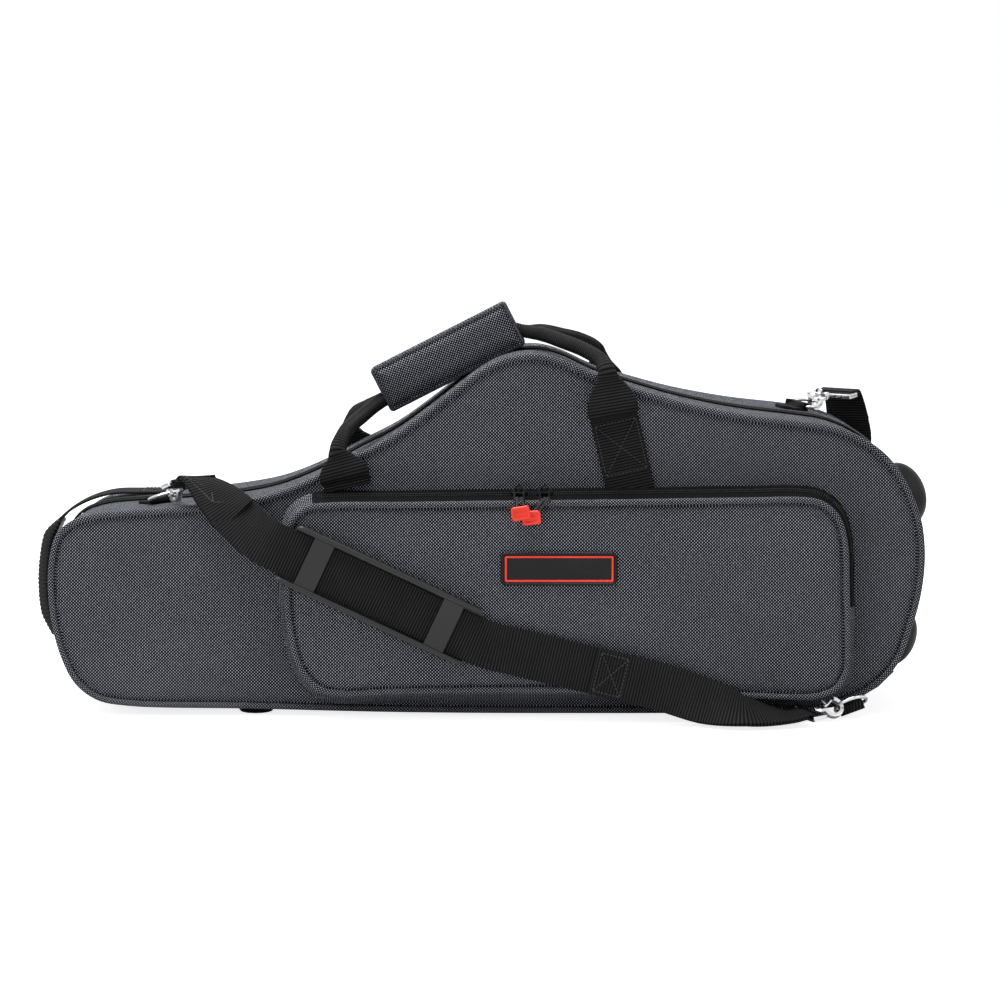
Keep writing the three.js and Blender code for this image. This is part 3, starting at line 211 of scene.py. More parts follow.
def smooth_path(points, count, closed=False):
    """Centripetal spline through points, resampled to equal steps."""
    knots = np.array([tuple(p) for p in points], float)
    if closed:
        knots = np.vstack([knots[-1], knots, knots[0], knots[1]])
    else:
        knots = np.vstack([2 * knots[0] - knots[1], knots, 2 * knots[-1] - knots[-2]])
    dense = []
    for i in range(1, len(knots) - 2):
        p = knots[i - 1:i + 3]
        spans = [max(np.linalg.norm(p[k + 1] - p[k]), 1e-9) ** 0.5 for k in range(3)]
        t = np.concatenate([[0], np.cumsum(spans)])
        s = np.linspace(t[1], t[2], spline_steps, endpoint=False)[:, None]
        a = [((t[k + 1] - s) * p[k] + (s - t[k]) * p[k + 1]) / (t[k + 1] - t[k]) for k in range(3)]
        b = [((t[k + 2] - s) * a[k] + (s - t[k]) * a[k + 1]) / (t[k + 2] - t[k]) for k in range(2)]
        dense.append(((t[2] - s) * b[0] + (s - t[1]) * b[1]) / (t[2] - t[1]))
    dense = np.vstack(dense + [knots[-2][None]])
    run = running_length(dense)
    wanted = np.linspace(0, run[-1], count, endpoint=not closed)
    return np.stack([np.interp(wanted, run, dense[:, k]) for k in range(3)], axis=1)


def edge_normals(path):
    """Directions out of a closed outline in the front plane, and its running length."""
    run = np.roll(path, -1, axis=0) - np.roll(path, 1, axis=0)
    out = np.stack([-run[:, 2], np.zeros(len(path)), run[:, 0]], axis=1)
    steps = np.linalg.norm(np.roll(path, -1, axis=0) - path, axis=1)
    return out / np.linalg.norm(out, axis=1)[:, None], np.concatenate([[0], np.cumsum(steps)])


def case_swell(points, depth):
    """The bell end's top grows a little towards the back."""
    x_share = (points[:, 0] - case_middle.x) / case_length + 0.5
    t = np.clip((x_share - swell_from_share) / swell_reach_share, 0, 1)
    z_share = np.clip((points[:, 2] - floor_gap) / case_height, 0, None)
    return rear_swell * max(0, depth) / rear_depth * (t * t * (3 - 2 * t)) * z_share


outline = smooth_path([at(x, 0, z) for x, z in outline_shares], outline_count, closed=True)
outline_out, outline_run = edge_normals(outline)
shell_centre = np.array(at(0.5, 0, shell_middle_share))


def shell_ring(offset, depth, share=1.0):
    """A ring round the case: the outline moved out by an offset, at a depth, drawn in by a share."""
    ring = outline + outline_out * offset
    ring = shell_centre + (ring - shell_centre) * share
    ring[:, 1] = case_middle.y + depth
    ring[:, 2] += case_swell(ring, depth)
    return ring


def loft(name, rings, materials, apex_from=None, apex_to=None, uv=None, loop=False):
    """Joins closed rings into one mesh. uv has each ring's coordinates, for a loop the first ring's twice."""
    count = len(rings[0])
    points = [tuple(p) for ring in rings for p in ring]
    faces, coords = [], []
    for k in range(len(rings) if loop else len(rings) - 1):
        low, high = k * count, (k + 1) % len(rings) * count
        for i in range(count):
            j = (i + 1) % count
            faces.append((low + i, low + j, high + j, high + i))
            if uv is not None:
                a, b = uv[k], uv[k + 1]
                coords += [a[i], a[i + 1], b[i + 1], b[i]]
    for ring_number, apex in ((0, apex_from), (len(rings) - 1, apex_to)):
        if apex is None:
            continue
        points.append(tuple(apex))
        base = ring_number * count
        ring = rings[ring_number]
        for i in range(count):
            j = (i + 1) % count
            face = (len(points) - 1, base + j, base + i)
            corner = [(apex[0], apex[2]), tuple(ring[j][[0, 2]]), tuple(ring[i][[0, 2]])]
            faces.append(face if ring_number == 0 else face[::-1])
            coords += corner if ring_number == 0 else corner[::-1]
    mesh = bpy.data.meshes.new(name)
    mesh.from_pydata(points, [], faces)
    if uv is not None:
        layer = mesh.uv_layers.new(name="cloth")
        layer.data.foreach_set("uv", np.array(coords, np.float32).ravel())
    for material in materials:
        mesh.materials.append(material)
    return placed(name, mesh)


def finish_mesh(piece, angle=sharp_edge):
    """Faces outward and smooth, with edges sharper than an angle kept."""
    work = bmesh.new()
    work.from_mesh(piece.data)
    bmesh.ops.recalc_face_normals(work, faces=work.faces)
    work.to_mesh(piece.data)
    work.free()
    piece.data.shade_smooth()
    piece.data.set_sharp_from_angle(angle=angle)
    return piece


def settle(piece, body, slot, *nodes):
    """Sets a finished piece on its CAD body, in place of the nodes it stands for."""
    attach(piece, body)
    if nodes:
        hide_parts(*nodes)
    return piece


def shader_group(name, inputs):
    """An empty node group with named inputs (kind, value) that gives a colour, a height and a roughness."""
    tree = bpy.data.node_groups.new(name, "ShaderNodeTree")
    for key, (kind, value) in inputs.items():
        socket = tree.interface.new_socket(key, in_out="INPUT", socket_type=f"NodeSocket{kind}")
        if value is not None:
            socket.default_value = value
    for key, kind in (("Color", "Color"), ("Height", "Float"), ("Roughness", "Float")):
        tree.interface.new_socket(key, in_out="OUTPUT", socket_type=f"NodeSocket{kind}")
    make = node_maker(tree)

    def calc(operation, a, b=None, c=None):
        return make("ShaderNodeMath", {0: a, 1: b, 2: c}, operation=operation)
    given = tree.nodes.new("NodeGroupInput").outputs
    result = tree.nodes.new("NodeGroupOutput").inputs

    def end(shade, height, roughness):
        mix = {0: shade, 6: given["Ground"], 7: given["Thread"]}
        tree.links.new(make("ShaderNodeMix", mix, out=2, data_type="RGBA"), result["Color"])
        tree.links.new(height, result["Height"])
        tree.links.new(roughness, result["Roughness"])
        return tree
    return make, calc, given, end


def build_cloth_group():
    """Ballistic cloth: rows of light yarn humps on a near-black ground, each row set half a step along."""
    make, calc, given, end = shader_group("ballistic_cloth", {
        "Vector": ("Vector", None), "Pitch": ("Float", weave_pitch), "Ground": ("Color", cloth_ground),
        "Thread": ("Color", cloth_thread)})
    steps = calc("DIVIDE", 1.0, given["Pitch"])
    scaled = make("ShaderNodeVectorMath", {0: given["Vector"], "Scale": steps}, operation="SCALE")
    parts = make("ShaderNodeSeparateXYZ", {0: scaled}).node.outputs

    def ovals(shift):
        """Yarn humps of one of the two lattices, each yarn with its own chance of being lighter."""
        cell = [calc("ADD", parts[k], shift) for k in (0, 1)]
        middle = [calc("SUBTRACT", calc("FRACT", part), 0.5) for part in cell]
        x, y = (calc("DIVIDE", part, half) for part, half in zip(middle, yarn_half_shares))
        squares = [calc("POWER", calc("ABSOLUTE", part), 2.0) for part in (x, y)]
        reach = calc("SQRT", calc("ADD", *squares))
        edge = {0: reach, 1: 1.0, 2: 0.2, 3: 0.0, 4: 1.0}
        hump = make("ShaderNodeMapRange", edge, interpolation_type="SMOOTHSTEP")
        number = make("ShaderNodeCombineXYZ", {0: calc("FLOOR", cell[0]), 1: calc("FLOOR", cell[1]), 2: shift})
        chance = make("ShaderNodeTexWhiteNoise", {"Vector": number}, noise_dimensions="3D")
        return calc("MULTIPLY", hump, calc("MULTIPLY_ADD", chance, 0.2, 0.82))
    hump = calc("MAXIMUM", ovals(0.0), ovals(0.5))
    broad = make("ShaderNodeTexNoise", {"Vector": given["Vector"], "Scale": 9.0, "Detail": 3.0})
    shade = calc("MULTIPLY", hump, calc("MULTIPLY_ADD", broad, 0.5, 0.75))
    return end(shade, shade, calc("MULTIPLY_ADD", hump, -0.22, 0.88))


cloth_group = build_cloth_group()


def surface(material, make, colour, roughness, height, bump, distance, **sockets):
    """Closes a material: a Principled surface with a bump from its height."""
    inputs = {key.replace("_", " "): value for key, value in sockets.items()}
    inputs.update({"Base Color": colour, "Roughness": roughness})
    inputs["Normal"] = make("ShaderNodeBump", {"Strength": bump, "Distance": distance, "Height": height})
    close_tree(material.node_tree, make("ShaderNodeBsdfPrincipled", inputs))
    return material


def woven_material(name, group_tree, pitch, thread, bump):
    """A woven material laid by the piece's own cloth coordinates. bump is its strength and distance."""
    material, make = new_material(name)
    group = material.node_tree.nodes.new("ShaderNodeGroup")
    group.node_tree = group_tree
    material.node_tree.links.new(make("ShaderNodeUVMap", uv_map="cloth"), group.inputs["Vector"])
    group.inputs["Pitch"].default_value = pitch
    group.inputs["Thread"].default_value = thread
    colour, height, roughness = (group.outputs[key] for key in ("Color", "Height", "Roughness"))
    return surface(material, make, colour, roughness, height, *bump, Specular_IOR_Level=woven_specular)


case_cloth = woven_material("case_cloth", cloth_group, weave_pitch, cloth_thread, cloth_bump)
lining_cloth = woven_material("lining_cloth", cloth_group, lining_pitch, lining_thread, cloth_bump)


def ring_coords(ring, run, y, zone):
    """A closed ring's cloth coordinates: along the edge on a band, and as seen from the front elsewhere."""
    flat = [(p[0], p[2]) for p in ring]
    return [(r, y) for r in run] if zone == "band" else flat + flat[:1]


def shell_piece(name, profile, depth, side):
    """A shell from the middle of its face over the edge and down inside to the middle of its floor."""
    rings = [shell_ring(offset, y, share) for offset, y, share, _ in profile]
    coords = [ring_coords(ring, outline_run, row[1], row[3]) for ring, row in zip(rings, profile)]
    top, bottom = shell_centre.copy(), shell_centre.copy()
    top[1] = case_middle.y + side * (depth + shell_crown)
    bottom[1] = case_middle.y + side * (depth - shell_wall)
    piece = loft(name, rings, (case_cloth, lining_cloth), top, bottom, coords)
    first_inner = next(i for i, row in enumerate(profile) if row[3] == "inside")
    per_ring = len(outline)
    faces = piece.data.polygons
    for face in [*faces[(first_inner - 1) * per_ring:(len(rings) - 1) * per_ring], *faces[-per_ring:]]:
        face.material_index = 1
    return finish_mesh(piece)


def face_profile(depth, side):
    rows = [(side * (depth + shell_crown * (1 - share * share)), share) for share in panel_shares]
    return [(-panel_inset, y, share, "face") for y, share in rows]


def inner_profile(depth, side):
    floor = side * (depth - shell_wall)
    inset, rise = lining_corner
    rows = [(0, side * parting_gap, "band"), (-shell_wall * 0.4, side * parting_gap * 0.8, "inside"),
            (-shell_wall, side * parting_gap * 2, "inside"), (-shell_wall, floor - side * rise, "inside"),
            (-shell_wall - inset, floor, "inside")]
    edge = [(offset, y, 1, zone) for offset, y, zone in rows]
    return edge + [(-panel_inset, floor, share, "inside") for share in inside_shares]


front_profile = face_profile(front_depth, -1)
front_profile += [(offset, -front_depth + rise, 1, zone) for offset, rise, zone in front_edge_steps]
front_profile += [(offset, y, 1, "band") for offset, y in front_lip_steps] + inner_profile(front_depth, -1)
settle(shell_piece("front_shell_cloth", front_profile, front_depth, -1), "lid", "case_cloth", "front_shell")

rear_profile = face_profile(rear_depth, 1) + [(-panel_inset * 0.9, rear_depth + rear_rise, 1, "face")]
for turn in round_steps:
    inset, drop = rear_round * (1 - math.sin(turn)), rear_round * (1 - math.cos(turn))
    rear_profile.append((-inset, rear_depth - drop, 1, "face" if turn < round_middle else "band"))
rear_profile += [(offset, y, 1, "band") for offset, y in rear_lip_steps] + inner_profile(rear_depth, 1)
settle(shell_piece("rear_shell_cloth", rear_profile, rear_depth, 1), "case", "case_cloth", "rear_shell")

# Generic pieces: a softened copy of a CAD node, rows of small beads for zip teeth and stitches, and the
# narrow woven and moulded materials that the small parts share
merge_reach = 1e-6
flat_angle = math.radians(2)
soft_angle = math.radians(28)
rib_pitch = 0.0022
yarn_pitch = 0.0011
rib_ground = (0.0008, 0.0008, 0.0009, 1)
rib_thread = (0.036, 0.035, 0.036, 1)
grain_distance = 0.0003
rope_sides = 14


def applied(piece):
    """Turns a piece and its modifiers into a plain mesh."""
    graph = bpy.context.evaluated_depsgraph_get()
    mesh = bpy.data.meshes.new_from_object(piece.evaluated_get(graph))
    piece.modifiers.clear()
    piece.data = mesh
    return finish_mesh(piece)


def cad_copy(node, ending, material, clean=None):
    """A copy of a CAD node where it lies, its corners merged and its faces cleaned, in one material."""
    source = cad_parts[node]
    mesh = source.data.copy()
    mesh.name = node + ending
    mesh.transform(source.matrix_world)
    work = bmesh.new()
    work.from_mesh(mesh)
    bmesh.ops.remove_doubles(work, verts=work.verts, dist=merge_reach)
    if clean is not None:
        clean(work)
    work.to_mesh(mesh)
    work.free()
    mesh.materials.clear()
    mesh.materials.append(material)
    return placed(node + ending, mesh)


def merge_flat_faces(work):
    bmesh.ops.dissolve_limit(work, angle_limit=flat_angle, verts=work.verts, edges=work.edges)


def softened(node, width, material, segments=2):
    """A copy of a CAD node with merged faces and rounded edges."""
    piece = cad_copy(node, "_soft", material, merge_flat_faces)
    rounding = piece.modifiers.new("rounding", "BEVEL")
    rounding.width = width
    rounding.segments = segments
    rounding.limit_method = "ANGLE"
    rounding.angle_limit = soft_angle
    rounding.use_clamp_overlap = True
    return applied(piece)


def build_beads():
    """Geometry Nodes: a rounded bead on every vertex, turned by the vertex's along and up directions."""
    tree = bpy.data.node_groups.new("beads", "GeometryNodeTree")
    for key, kind in (("Geometry", "Geometry"), ("Size", "Vector"), ("Material", "Material")):
        tree.interface.new_socket(key, in_out="INPUT", socket_type=f"NodeSocket{kind}")
    tree.interface.new_socket("Geometry", in_out="OUTPUT", socket_type="NodeSocketGeometry")
    add = tree.nodes.new
    given, result = add("NodeGroupInput"), add("NodeGroupOutput")
    turned = None
    for axis, key, pivot in (("X", "along", "AUTO"), ("Z", "up", "X")):
        attribute = add("GeometryNodeInputNamedAttribute")
        attribute.data_type = "FLOAT_VECTOR"
        attribute.inputs["Name"].default_value = key
        align = add("FunctionNodeAlignRotationToVector")
        align.axis = axis
        align.pivot_axis = pivot
        tree.links.new(attribute.outputs[0], align.inputs["Vector"])
        if turned is not None:
            tree.links.new(turned, align.inputs["Rotation"])
        turned = align.outputs[0]
    ball = add("GeometryNodeMeshIcoSphere")
    ball.inputs["Radius"].default_value = 0.5
    ball.inputs["Subdivisions"].default_value = 2
    place = add("GeometryNodeInstanceOnPoints")
    tree.links.new(given.outputs["Geometry"], place.inputs["Points"])
    tree.links.new(ball.outputs["Mesh"], place.inputs["Instance"])
    tree.links.new(turned, place.inputs["Rotation"])
    tree.links.new(given.outputs["Size"], place.inputs["Scale"])
    real = add("GeometryNodeRealizeInstances")
    tree.links.new(place.outputs[0], real.inputs[0])
    painted = add("GeometryNodeSetMaterial")
    tree.links.new(real.outputs[0], painted.inputs["Geometry"])
    tree.links.new(given.outputs["Material"], painted.inputs["Material"])
    tree.links.new(painted.outputs[0], result.inputs["Geometry"])
    return tree


bead_tree = build_beads()


def beads(name, places, along, up, size, material):
    """A row of beads (length, width, height) at places, as one mesh."""
    mesh = bpy.data.meshes.new(name)
    mesh.from_pydata([tuple(p) for p in places], [], [])
    for key, rows in (("along", along), ("up", up)):
        layer = mesh.attributes.new(key, "FLOAT_VECTOR", "POINT")
        layer.data.foreach_set("vector", np.ascontiguousarray(rows, np.float32).ravel())
    piece = placed(name, mesh)
    row = piece.modifiers.new("beads", "NODES")
    row.node_group = bead_tree
    values = {"Size": size, "Material": material}
    for item in bead_tree.interface.items_tree:
        if item.in_out == "INPUT" and item.name in values:
            row[item.identifier] = values[item.name]
    return applied(piece)


def stations(path, out, first, last, count):
    """Places and outward directions between two shares of a closed outline."""
    spots = np.linspace(first, last, count) % 1 * len(path)
    low = spots.astype(int) % len(path)
    part = (spots - np.floor(spots))[:, None]
    after = (low + 1) % len(path)
    return path[low] * (1 - part) + path[after] * part, out[low] * (1 - part) + out[after] * part


def band(name, profile, place, path, out, step, material):
    """Sweeps a closed profile of (offset, depth) along stations, capped at both ends."""
    count = len(path)
    rings = []
    for i in range(count):
        rings.append(np.array([place(path[i:i + 1], out[i:i + 1], offset, y)[0] for offset, y in profile]))
    across = running_length(np.array(profile + profile[:1]))
    coords = [[(i * step, v) for v in across] for i in range(count)]
    return finish_mesh(loft(name, rings, (material,), rings[0].mean(0), rings[-1].mean(0), coords))


def rope(name, path, out, centre, radius, place):
    """A closed round cord of case cloth beside an outline, its weave running along it."""
    run = edge_normals(path)[1]
    turns = [2 * math.pi * k / rope_sides for k in range(rope_sides)]
    round_steps = [(centre[0] + radius * math.cos(turn), centre[1] + radius * math.sin(turn)) for turn in turns]
    rings = [place(path, out, offset, y) for offset, y in round_steps]
    coords = [[(r, 2 * math.pi * radius * k / rope_sides) for r in run] for k in range(rope_sides + 1)]
    return finish_mesh(loft(name, rings, (case_cloth,), uv=coords, loop=True))


def teeth(name, body, place, path, out, rise, y, size):
    """One side of a zip's coil: a bead for each tooth along a path."""
    along = np.roll(path, -1, axis=0) - path
    along[-1] = along[-2]
    settle(beads(name, place(path, out, rise, y), along, out, size, zip_coil), body, "zip_tape")


def build_rib_group():
    """Woven narrow cloth: ribs across the run, crossed by fine yarns."""
    make, calc, given, end = shader_group("ribbed_web", {
        "Vector": ("Vector", None), "Pitch": ("Float", rib_pitch), "Yarn": ("Float", yarn_pitch),
        "Ground": ("Color", rib_ground), "Thread": ("Color", rib_thread)})
    parts = make("ShaderNodeSeparateXYZ", {0: given["Vector"]}).node.outputs
    ribs, yarns = (calc("ABSOLUTE", calc("SINE", calc("MULTIPLY", calc("DIVIDE", part, given[key]), math.pi)))
                   for part, key in ((parts[0], "Pitch"), (parts[1], "Yarn")))
    height = calc("MULTIPLY", calc("POWER", ribs, 1.4), calc("MULTIPLY_ADD", yarns, 0.45, 0.55))
    wear = make("ShaderNodeTexNoise", {"Vector": given["Vector"], "Scale": 60.0, "Detail": 4.0})
    fine = make("ShaderNodeTexNoise", {"Vector": given["Vector"], "Scale": 1400.0, "Detail": 2.0})
    uneven = calc("ADD", calc("MULTIPLY_ADD", wear, 0.5, 0.4), calc("MULTIPLY", fine, 0.7))
    lift = calc("MULTIPLY", height, uneven)
    return end(lift, height, calc("MULTIPLY_ADD", height, -0.2, 0.8))


rib_group = build_rib_group()


def grain_material(name, colour, roughness, scale=900.0, bump=0.15, spread=0.12, **sockets):
    """A moulded or painted surface with fine grain, soft unevenness and rubbed patches."""
    material, make = new_material(name)
    place = make("ShaderNodeTexCoord", out=3)
    grain = make("ShaderNodeTexNoise", {"Vector": place, "Scale": scale, "Detail": 3.0})
    patch = make("ShaderNodeTexNoise", {"Vector": place, "Scale": 35.0, "Detail": 4.0})
    shade = make("ShaderNodeMapRange", {0: patch, 1: 0.3, 2: 0.7, 3: 1 - spread * 2, 4: 1 + spread})
    tone = make("ShaderNodeVectorMath", {0: colour, "Scale": shade}, operation="SCALE")
    rubbed = {0: patch, 1: 0.3, 2: 0.7, 3: roughness + spread, 4: roughness - spread * 0.6}
    rough = make("ShaderNodeMapRange", rubbed)
    return surface(material, make, tone, rough, grain, bump, grain_distance, **sockets)


rubber = grain_material("rubber", (0.0055, 0.0053, 0.0054), 0.32, Specular_IOR_Level=0.25)
black_plastic = grain_material("black_plastic", (0.0125, 0.0123, 0.0128), 0.3, scale=1500.0,
                               Specular_IOR_Level=0.42)
dark_metal = grain_material("dark_metal", (0.0045, 0.0045, 0.005), 0.3, scale=500.0, bump=0.05, Metallic=0.1)
black_thread = grain_material("black_thread", (0.028, 0.0275, 0.029), 0.6, scale=2200.0, bump=0.3)
grey_thread = grain_material("grey_thread", (0.012, 0.012, 0.013), 0.65, scale=2200.0, bump=0.3)
zip_coil = grain_material("zip_coil", (0.021, 0.021, 0.022), 0.3, scale=1500.0, Specular_IOR_Level=0.35)
black_webbing = woven_material("black_webbing", rib_group, 0.0023, (0.031, 0.030, 0.031, 1), (0.9, 0.0005))
zip_cloth = woven_material("zip_tape", rib_group, 0.0009, (0.010, 0.010, 0.0108, 1), (0.4, 0.0005))

# Front piping: a cord wrapped in case cloth, sewn into the seam round the front panel
piping_radius = 0.0025
piping_seat = 0.00016


def shell_place(path, out, offset, y):
    ring = path + out * offset
    ring[:, 1] = case_middle.y + y
    ring[:, 2] += case_swell(ring, y)
    return ring


front_piping = rope("front_piping_cord", outline, outline_out, (piping_seat, -front_depth - piping_seat),
                    piping_radius, shell_place)
settle(front_piping, "lid", "case_cloth", "front_piping")

# Main zip: black tapes sewn to both shells' bands, a woven coil of teeth on the edge of each
zip_from_share = 0.0995
zip_to_share = 0.805
zip_trim_share = 0.002
zip_count = 400
tape_width = 0.013
tape_thickness = 0.0009
tape_lift = 0.0009
tape_gap = 0.0002
coil_width = 0.003
coil_rise = 0.0022
tooth_pitch = 0.0015
tooth_size = (tooth_pitch * 0.72, coil_width, 0.0013)
slider_edge = 0.0008
pull_edge = 0.0004
zip_path, zip_out = stations(outline, outline_out, zip_from_share, zip_to_share, zip_count)
zip_length = float(outline_run[-1]) * (zip_to_share - zip_from_share)
zip_step = zip_length / (zip_count - 1)
coil_from, coil_to = zip_from_share + zip_trim_share, zip_to_share - zip_trim_share
coil_path, coil_out = stations(outline, outline_out, coil_from, coil_to, int(zip_length / tooth_pitch))
for name, side, body in (("front_zip", -1, "lid"), ("rear_zip", 1, "case")):
    low, high = tape_lift, tape_lift + tape_thickness
    tape_profile = [(low, side * tape_gap), (high, side * tape_gap), (high, side * tape_width * 0.5),
                    (high * 0.9, side * tape_width), (low * 0.6, side * tape_width)]
    tape = band(name + "_tape", tape_profile, shell_place, zip_path, zip_out, zip_step, zip_cloth)
    settle(tape, body, "zip_tape", name + "_tape")
    coil_y = side * coil_width * 0.5
    teeth(name + "_teeth", body, shell_place, coil_path, coil_out, coil_rise, coil_y, tooth_size)
for kind, ending, edge in (("slider", "", slider_edge), ("pull", "_tag", pull_edge)):
    for name in ("upper_zip", "lower_zip"):
        node = f"{name}_{kind}"
        settle(softened(node, edge, dark_metal), name + ending, "dark_metal", node)

# Hinge: a cloth spine glued under both shells where the zip does not run
hinge_half = 0.014
hinge_gap_share = 0.0015
hinge_lifts = (0.0013, 0.0006)
hinge_count = 110
hinge_from_share = zip_to_share + hinge_gap_share
hinge_to_share = 1 + zip_from_share - hinge_gap_share
hinge_path, hinge_out = stations(outline, outline_out, hinge_from_share, hinge_to_share, hinge_count)
hinge_share = 1 + zip_from_share - zip_to_share - 2 * hinge_gap_share
hinge_step = float(outline_run[-1]) * hinge_share / (hinge_count - 1)
hinge_columns = [hinge_half * c / 8 for c in range(-8, 9)]
hinge_profile = [(hinge_lifts[0], y) for y in hinge_columns]
hinge_profile += [(hinge_lifts[1], y) for y in reversed(hinge_columns)]
spine = band("hinge_spine", hinge_profile, shell_place, hinge_path, hinge_out, hinge_step, zip_cloth)
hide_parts("hinge_tape")
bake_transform(spine)

# Inserts: fitted foam under short plush, with the instrument's hollow, two compartments and a bell block
plush_dark = (0.008, 0.008, 0.009, 1)
plush_light = (0.032, 0.032, 0.036, 1)
nap_depth = 0.0012
insert_table = (("front_insert", "lid", 0.004), ("rear_insert", "case", 0.004), ("bell_block", "case", 0.003))
plush, make = new_material("plush")
nap_place = make("ShaderNodeTexCoord", out=3)
nap = make("ShaderNodeTexNoise", {"Vector": nap_place, "Scale": 1500.0, "Detail": 4.0})
swirl = make("ShaderNodeTexNoise", {"Vector": nap_place, "Scale": 28.0, "Detail": 3.0, "Distortion": 1.4})
nap_tone = make("ShaderNodeMix", {0: swirl, 6: plush_dark, 7: plush_light}, out=2, data_type="RGBA")
surface(plush, make, nap_tone, 0.95, nap, 0.7, nap_depth, Sheen_Weight=0.5, Sheen_Roughness=0.4)
for node, body, voxel in insert_table:
    block = cad_copy(node, "_plush", plush)
    remesh = block.modifiers.new("remesh", "REMESH")
    remesh.mode = "VOXEL"
    remesh.voxel_size = voxel
    smooth = block.modifiers.new("smooth", "SMOOTH")
    smooth.iterations = 4
    smooth.factor = 0.6
    settle(applied(block), body, "plush", node)

# Pocket: a padded cloth panel and gusset over the front shell, its own piping, and a zip round its upper half
pocket_length = 0.442
pocket_height = 0.157
pocket_left_share = 0.2745
pocket_bottom = 0.021
pocket_depth = 0.028
pocket_crown = 0.0032
pocket_dome_share = 0.55
pocket_flare = 0.0085
pocket_drop = 0.005
pocket_gusset = 0.0026
pocket_wall = 0.004
pocket_zip_inset = 0.012
pocket_zip_gap = 0.0003
pocket_valley = 0.0012
panel_gap = 0.0003
pocket_waves = ((0.0007, 31, 9, 44, 12), (0.0004, 83, 37))
pocket_count = 360
pocket_shares = [
    (0.379, 0.036), (0.184, 0.027), (0.092, 0.018), (0.05, 0.051), (0.021, 0.159), (0.005, 0.338), (0, 0.531),
    (0.001, 0.77), (0.011, 0.896), (0.036, 0.953), (0.077, 0.968), (0.201, 0.971), (0.379, 0.977), (0.556, 0.983),
    (0.734, 0.99), (0.835, 0.994), (0.911, 0.996), (0.951, 0.977), (0.979, 0.906), (0.992, 0.795), (0.997, 0.541),
    (1, 0.287), (0.999, 0.143), (0.983, 0.051), (0.948, 0.005), (0.88, 0), (0.772, 0.015), (0.629, 0.031),
]
tray_shares = (0.15, 0.3, 0.45, 0.6, 0.75, 0.9, 1)
tray_edge_steps = [
    (-0.012, -pocket_crown * 0.36, 0.6, "face"), (-0.0075, -pocket_crown * 0.22, 0.2, "face"),
    (-0.0050, -0.0001, 0, "face"), (-0.0037, pocket_valley, 0, "face"), (-0.0035, pocket_valley, 0, "band"),
    (-0.0004, seam_chamfer, 0, "band"), (0, seam_chamfer * 2, 0, "band"),
]
pocket_face = -front_depth - pocket_depth
pocket_base = -front_depth - shell_crown - panel_gap
pocket_zip_plane = -front_depth - pocket_zip_inset


def pocket_at(x_share, z_share):
    left = case_middle.x + (pocket_left_share - 0.5) * case_length
    return Vector((left + x_share * pocket_length, case_middle.y, pocket_bottom + z_share * pocket_height))


pocket_path = smooth_path([pocket_at(x, z) for x, z in pocket_shares], pocket_count, closed=True)
pocket_out, pocket_run = edge_normals(pocket_path)
pocket_centre = np.array(pocket_at(0.5, 0.5))


def pocket_place(path, out, offset, y, share=1.0):
    """A ring of the pocket, flared towards the shell and hanging a little lower there."""
    spread = max(0, (y - pocket_face - seam_chamfer) / (pocket_base - pocket_face - seam_chamfer))
    low = 1 - np.clip((path[:, 2] - pocket_bottom) / pocket_height, 0, 1)
    ring = path + out * (offset + pocket_flare * spread)
    ring[:, 2] -= pocket_drop * spread * low * low
    ring = pocket_centre + (ring - pocket_centre) * share
    ring[:, 1] = case_middle.y + y
    return ring


def pocket_ring(offset, y, share, soft):
    """A ring of the pocket; soft lets its padding rise and dip a little."""
    ring = pocket_place(pocket_path, pocket_out, offset, y, share)
    x, z = ring[:, 0], ring[:, 2]
    (deep, a, b, c, d), (shallow, e, f) = pocket_waves
    wave = deep * np.sin(a * x + b * z) * np.sin(c * z - d * x) + shallow * np.sin(e * x + f * z)
    ring[:, 1] -= soft * wave
    return ring


def pocket_shell(name, profile, apex_from=None, apex_to=None):
    rings = [pocket_ring(offset, y, share, soft) for offset, y, share, soft, _ in profile]
    coords = [ring_coords(ring, pocket_run, row[1], row[4]) for ring, row in zip(rings, profile)]
    loop = apex_from is None
    return finish_mesh(loft(name, rings, (case_cloth,), apex_from, apex_to, coords + coords[:1], loop))


tray_edge = pocket_zip_plane - pocket_zip_gap
tray_inside = pocket_face + pocket_wall
tray_profile = []
for share in tray_shares:
    rise = pocket_crown * (1 - pocket_dome_share * share * share)
    tray_profile.append((-panel_inset, pocket_face - rise, share, 1, "face"))
tray_profile += [(offset, pocket_face + rise, 1, soft, zone) for offset, rise, soft, zone in tray_edge_steps]
tray_profile += [(0, tray_edge, 1, 0, "band"), (-pocket_gusset, tray_edge, 1, 0, "band")]
tray_profile += [(-pocket_gusset, tray_inside, 1, 0, "face")]
tray_profile += [(-panel_inset, tray_inside, share, 0, "face") for share in (1, 0.5)]
tray_top, tray_floor = pocket_centre.copy(), pocket_centre.copy()
tray_top[1] = case_middle.y + pocket_face - pocket_crown
tray_floor[1] = case_middle.y + tray_inside
tray = pocket_shell("pocket_cushion", tray_profile, tray_top, tray_floor)
settle(tray, "pocket", "case_cloth", "pocket_front")

rim_edge = pocket_zip_plane + pocket_zip_gap
rim_steps = [(0, rim_edge), (0, (rim_edge + pocket_base) / 2), (0, pocket_base),
             (-pocket_gusset, pocket_base), (-pocket_gusset, rim_edge)]
rim = pocket_shell("pocket_gusset", [(offset, y, 1, 0, "band") for offset, y in rim_steps])
settle(rim, "lid", "case_cloth", "pocket_rim")
pocket_cord = rope("pocket_piping_cord", pocket_path, pocket_out, (piping_seat, pocket_face - piping_seat),
                   piping_radius, pocket_place)
settle(pocket_cord, "pocket", "case_cloth", "pocket_piping")

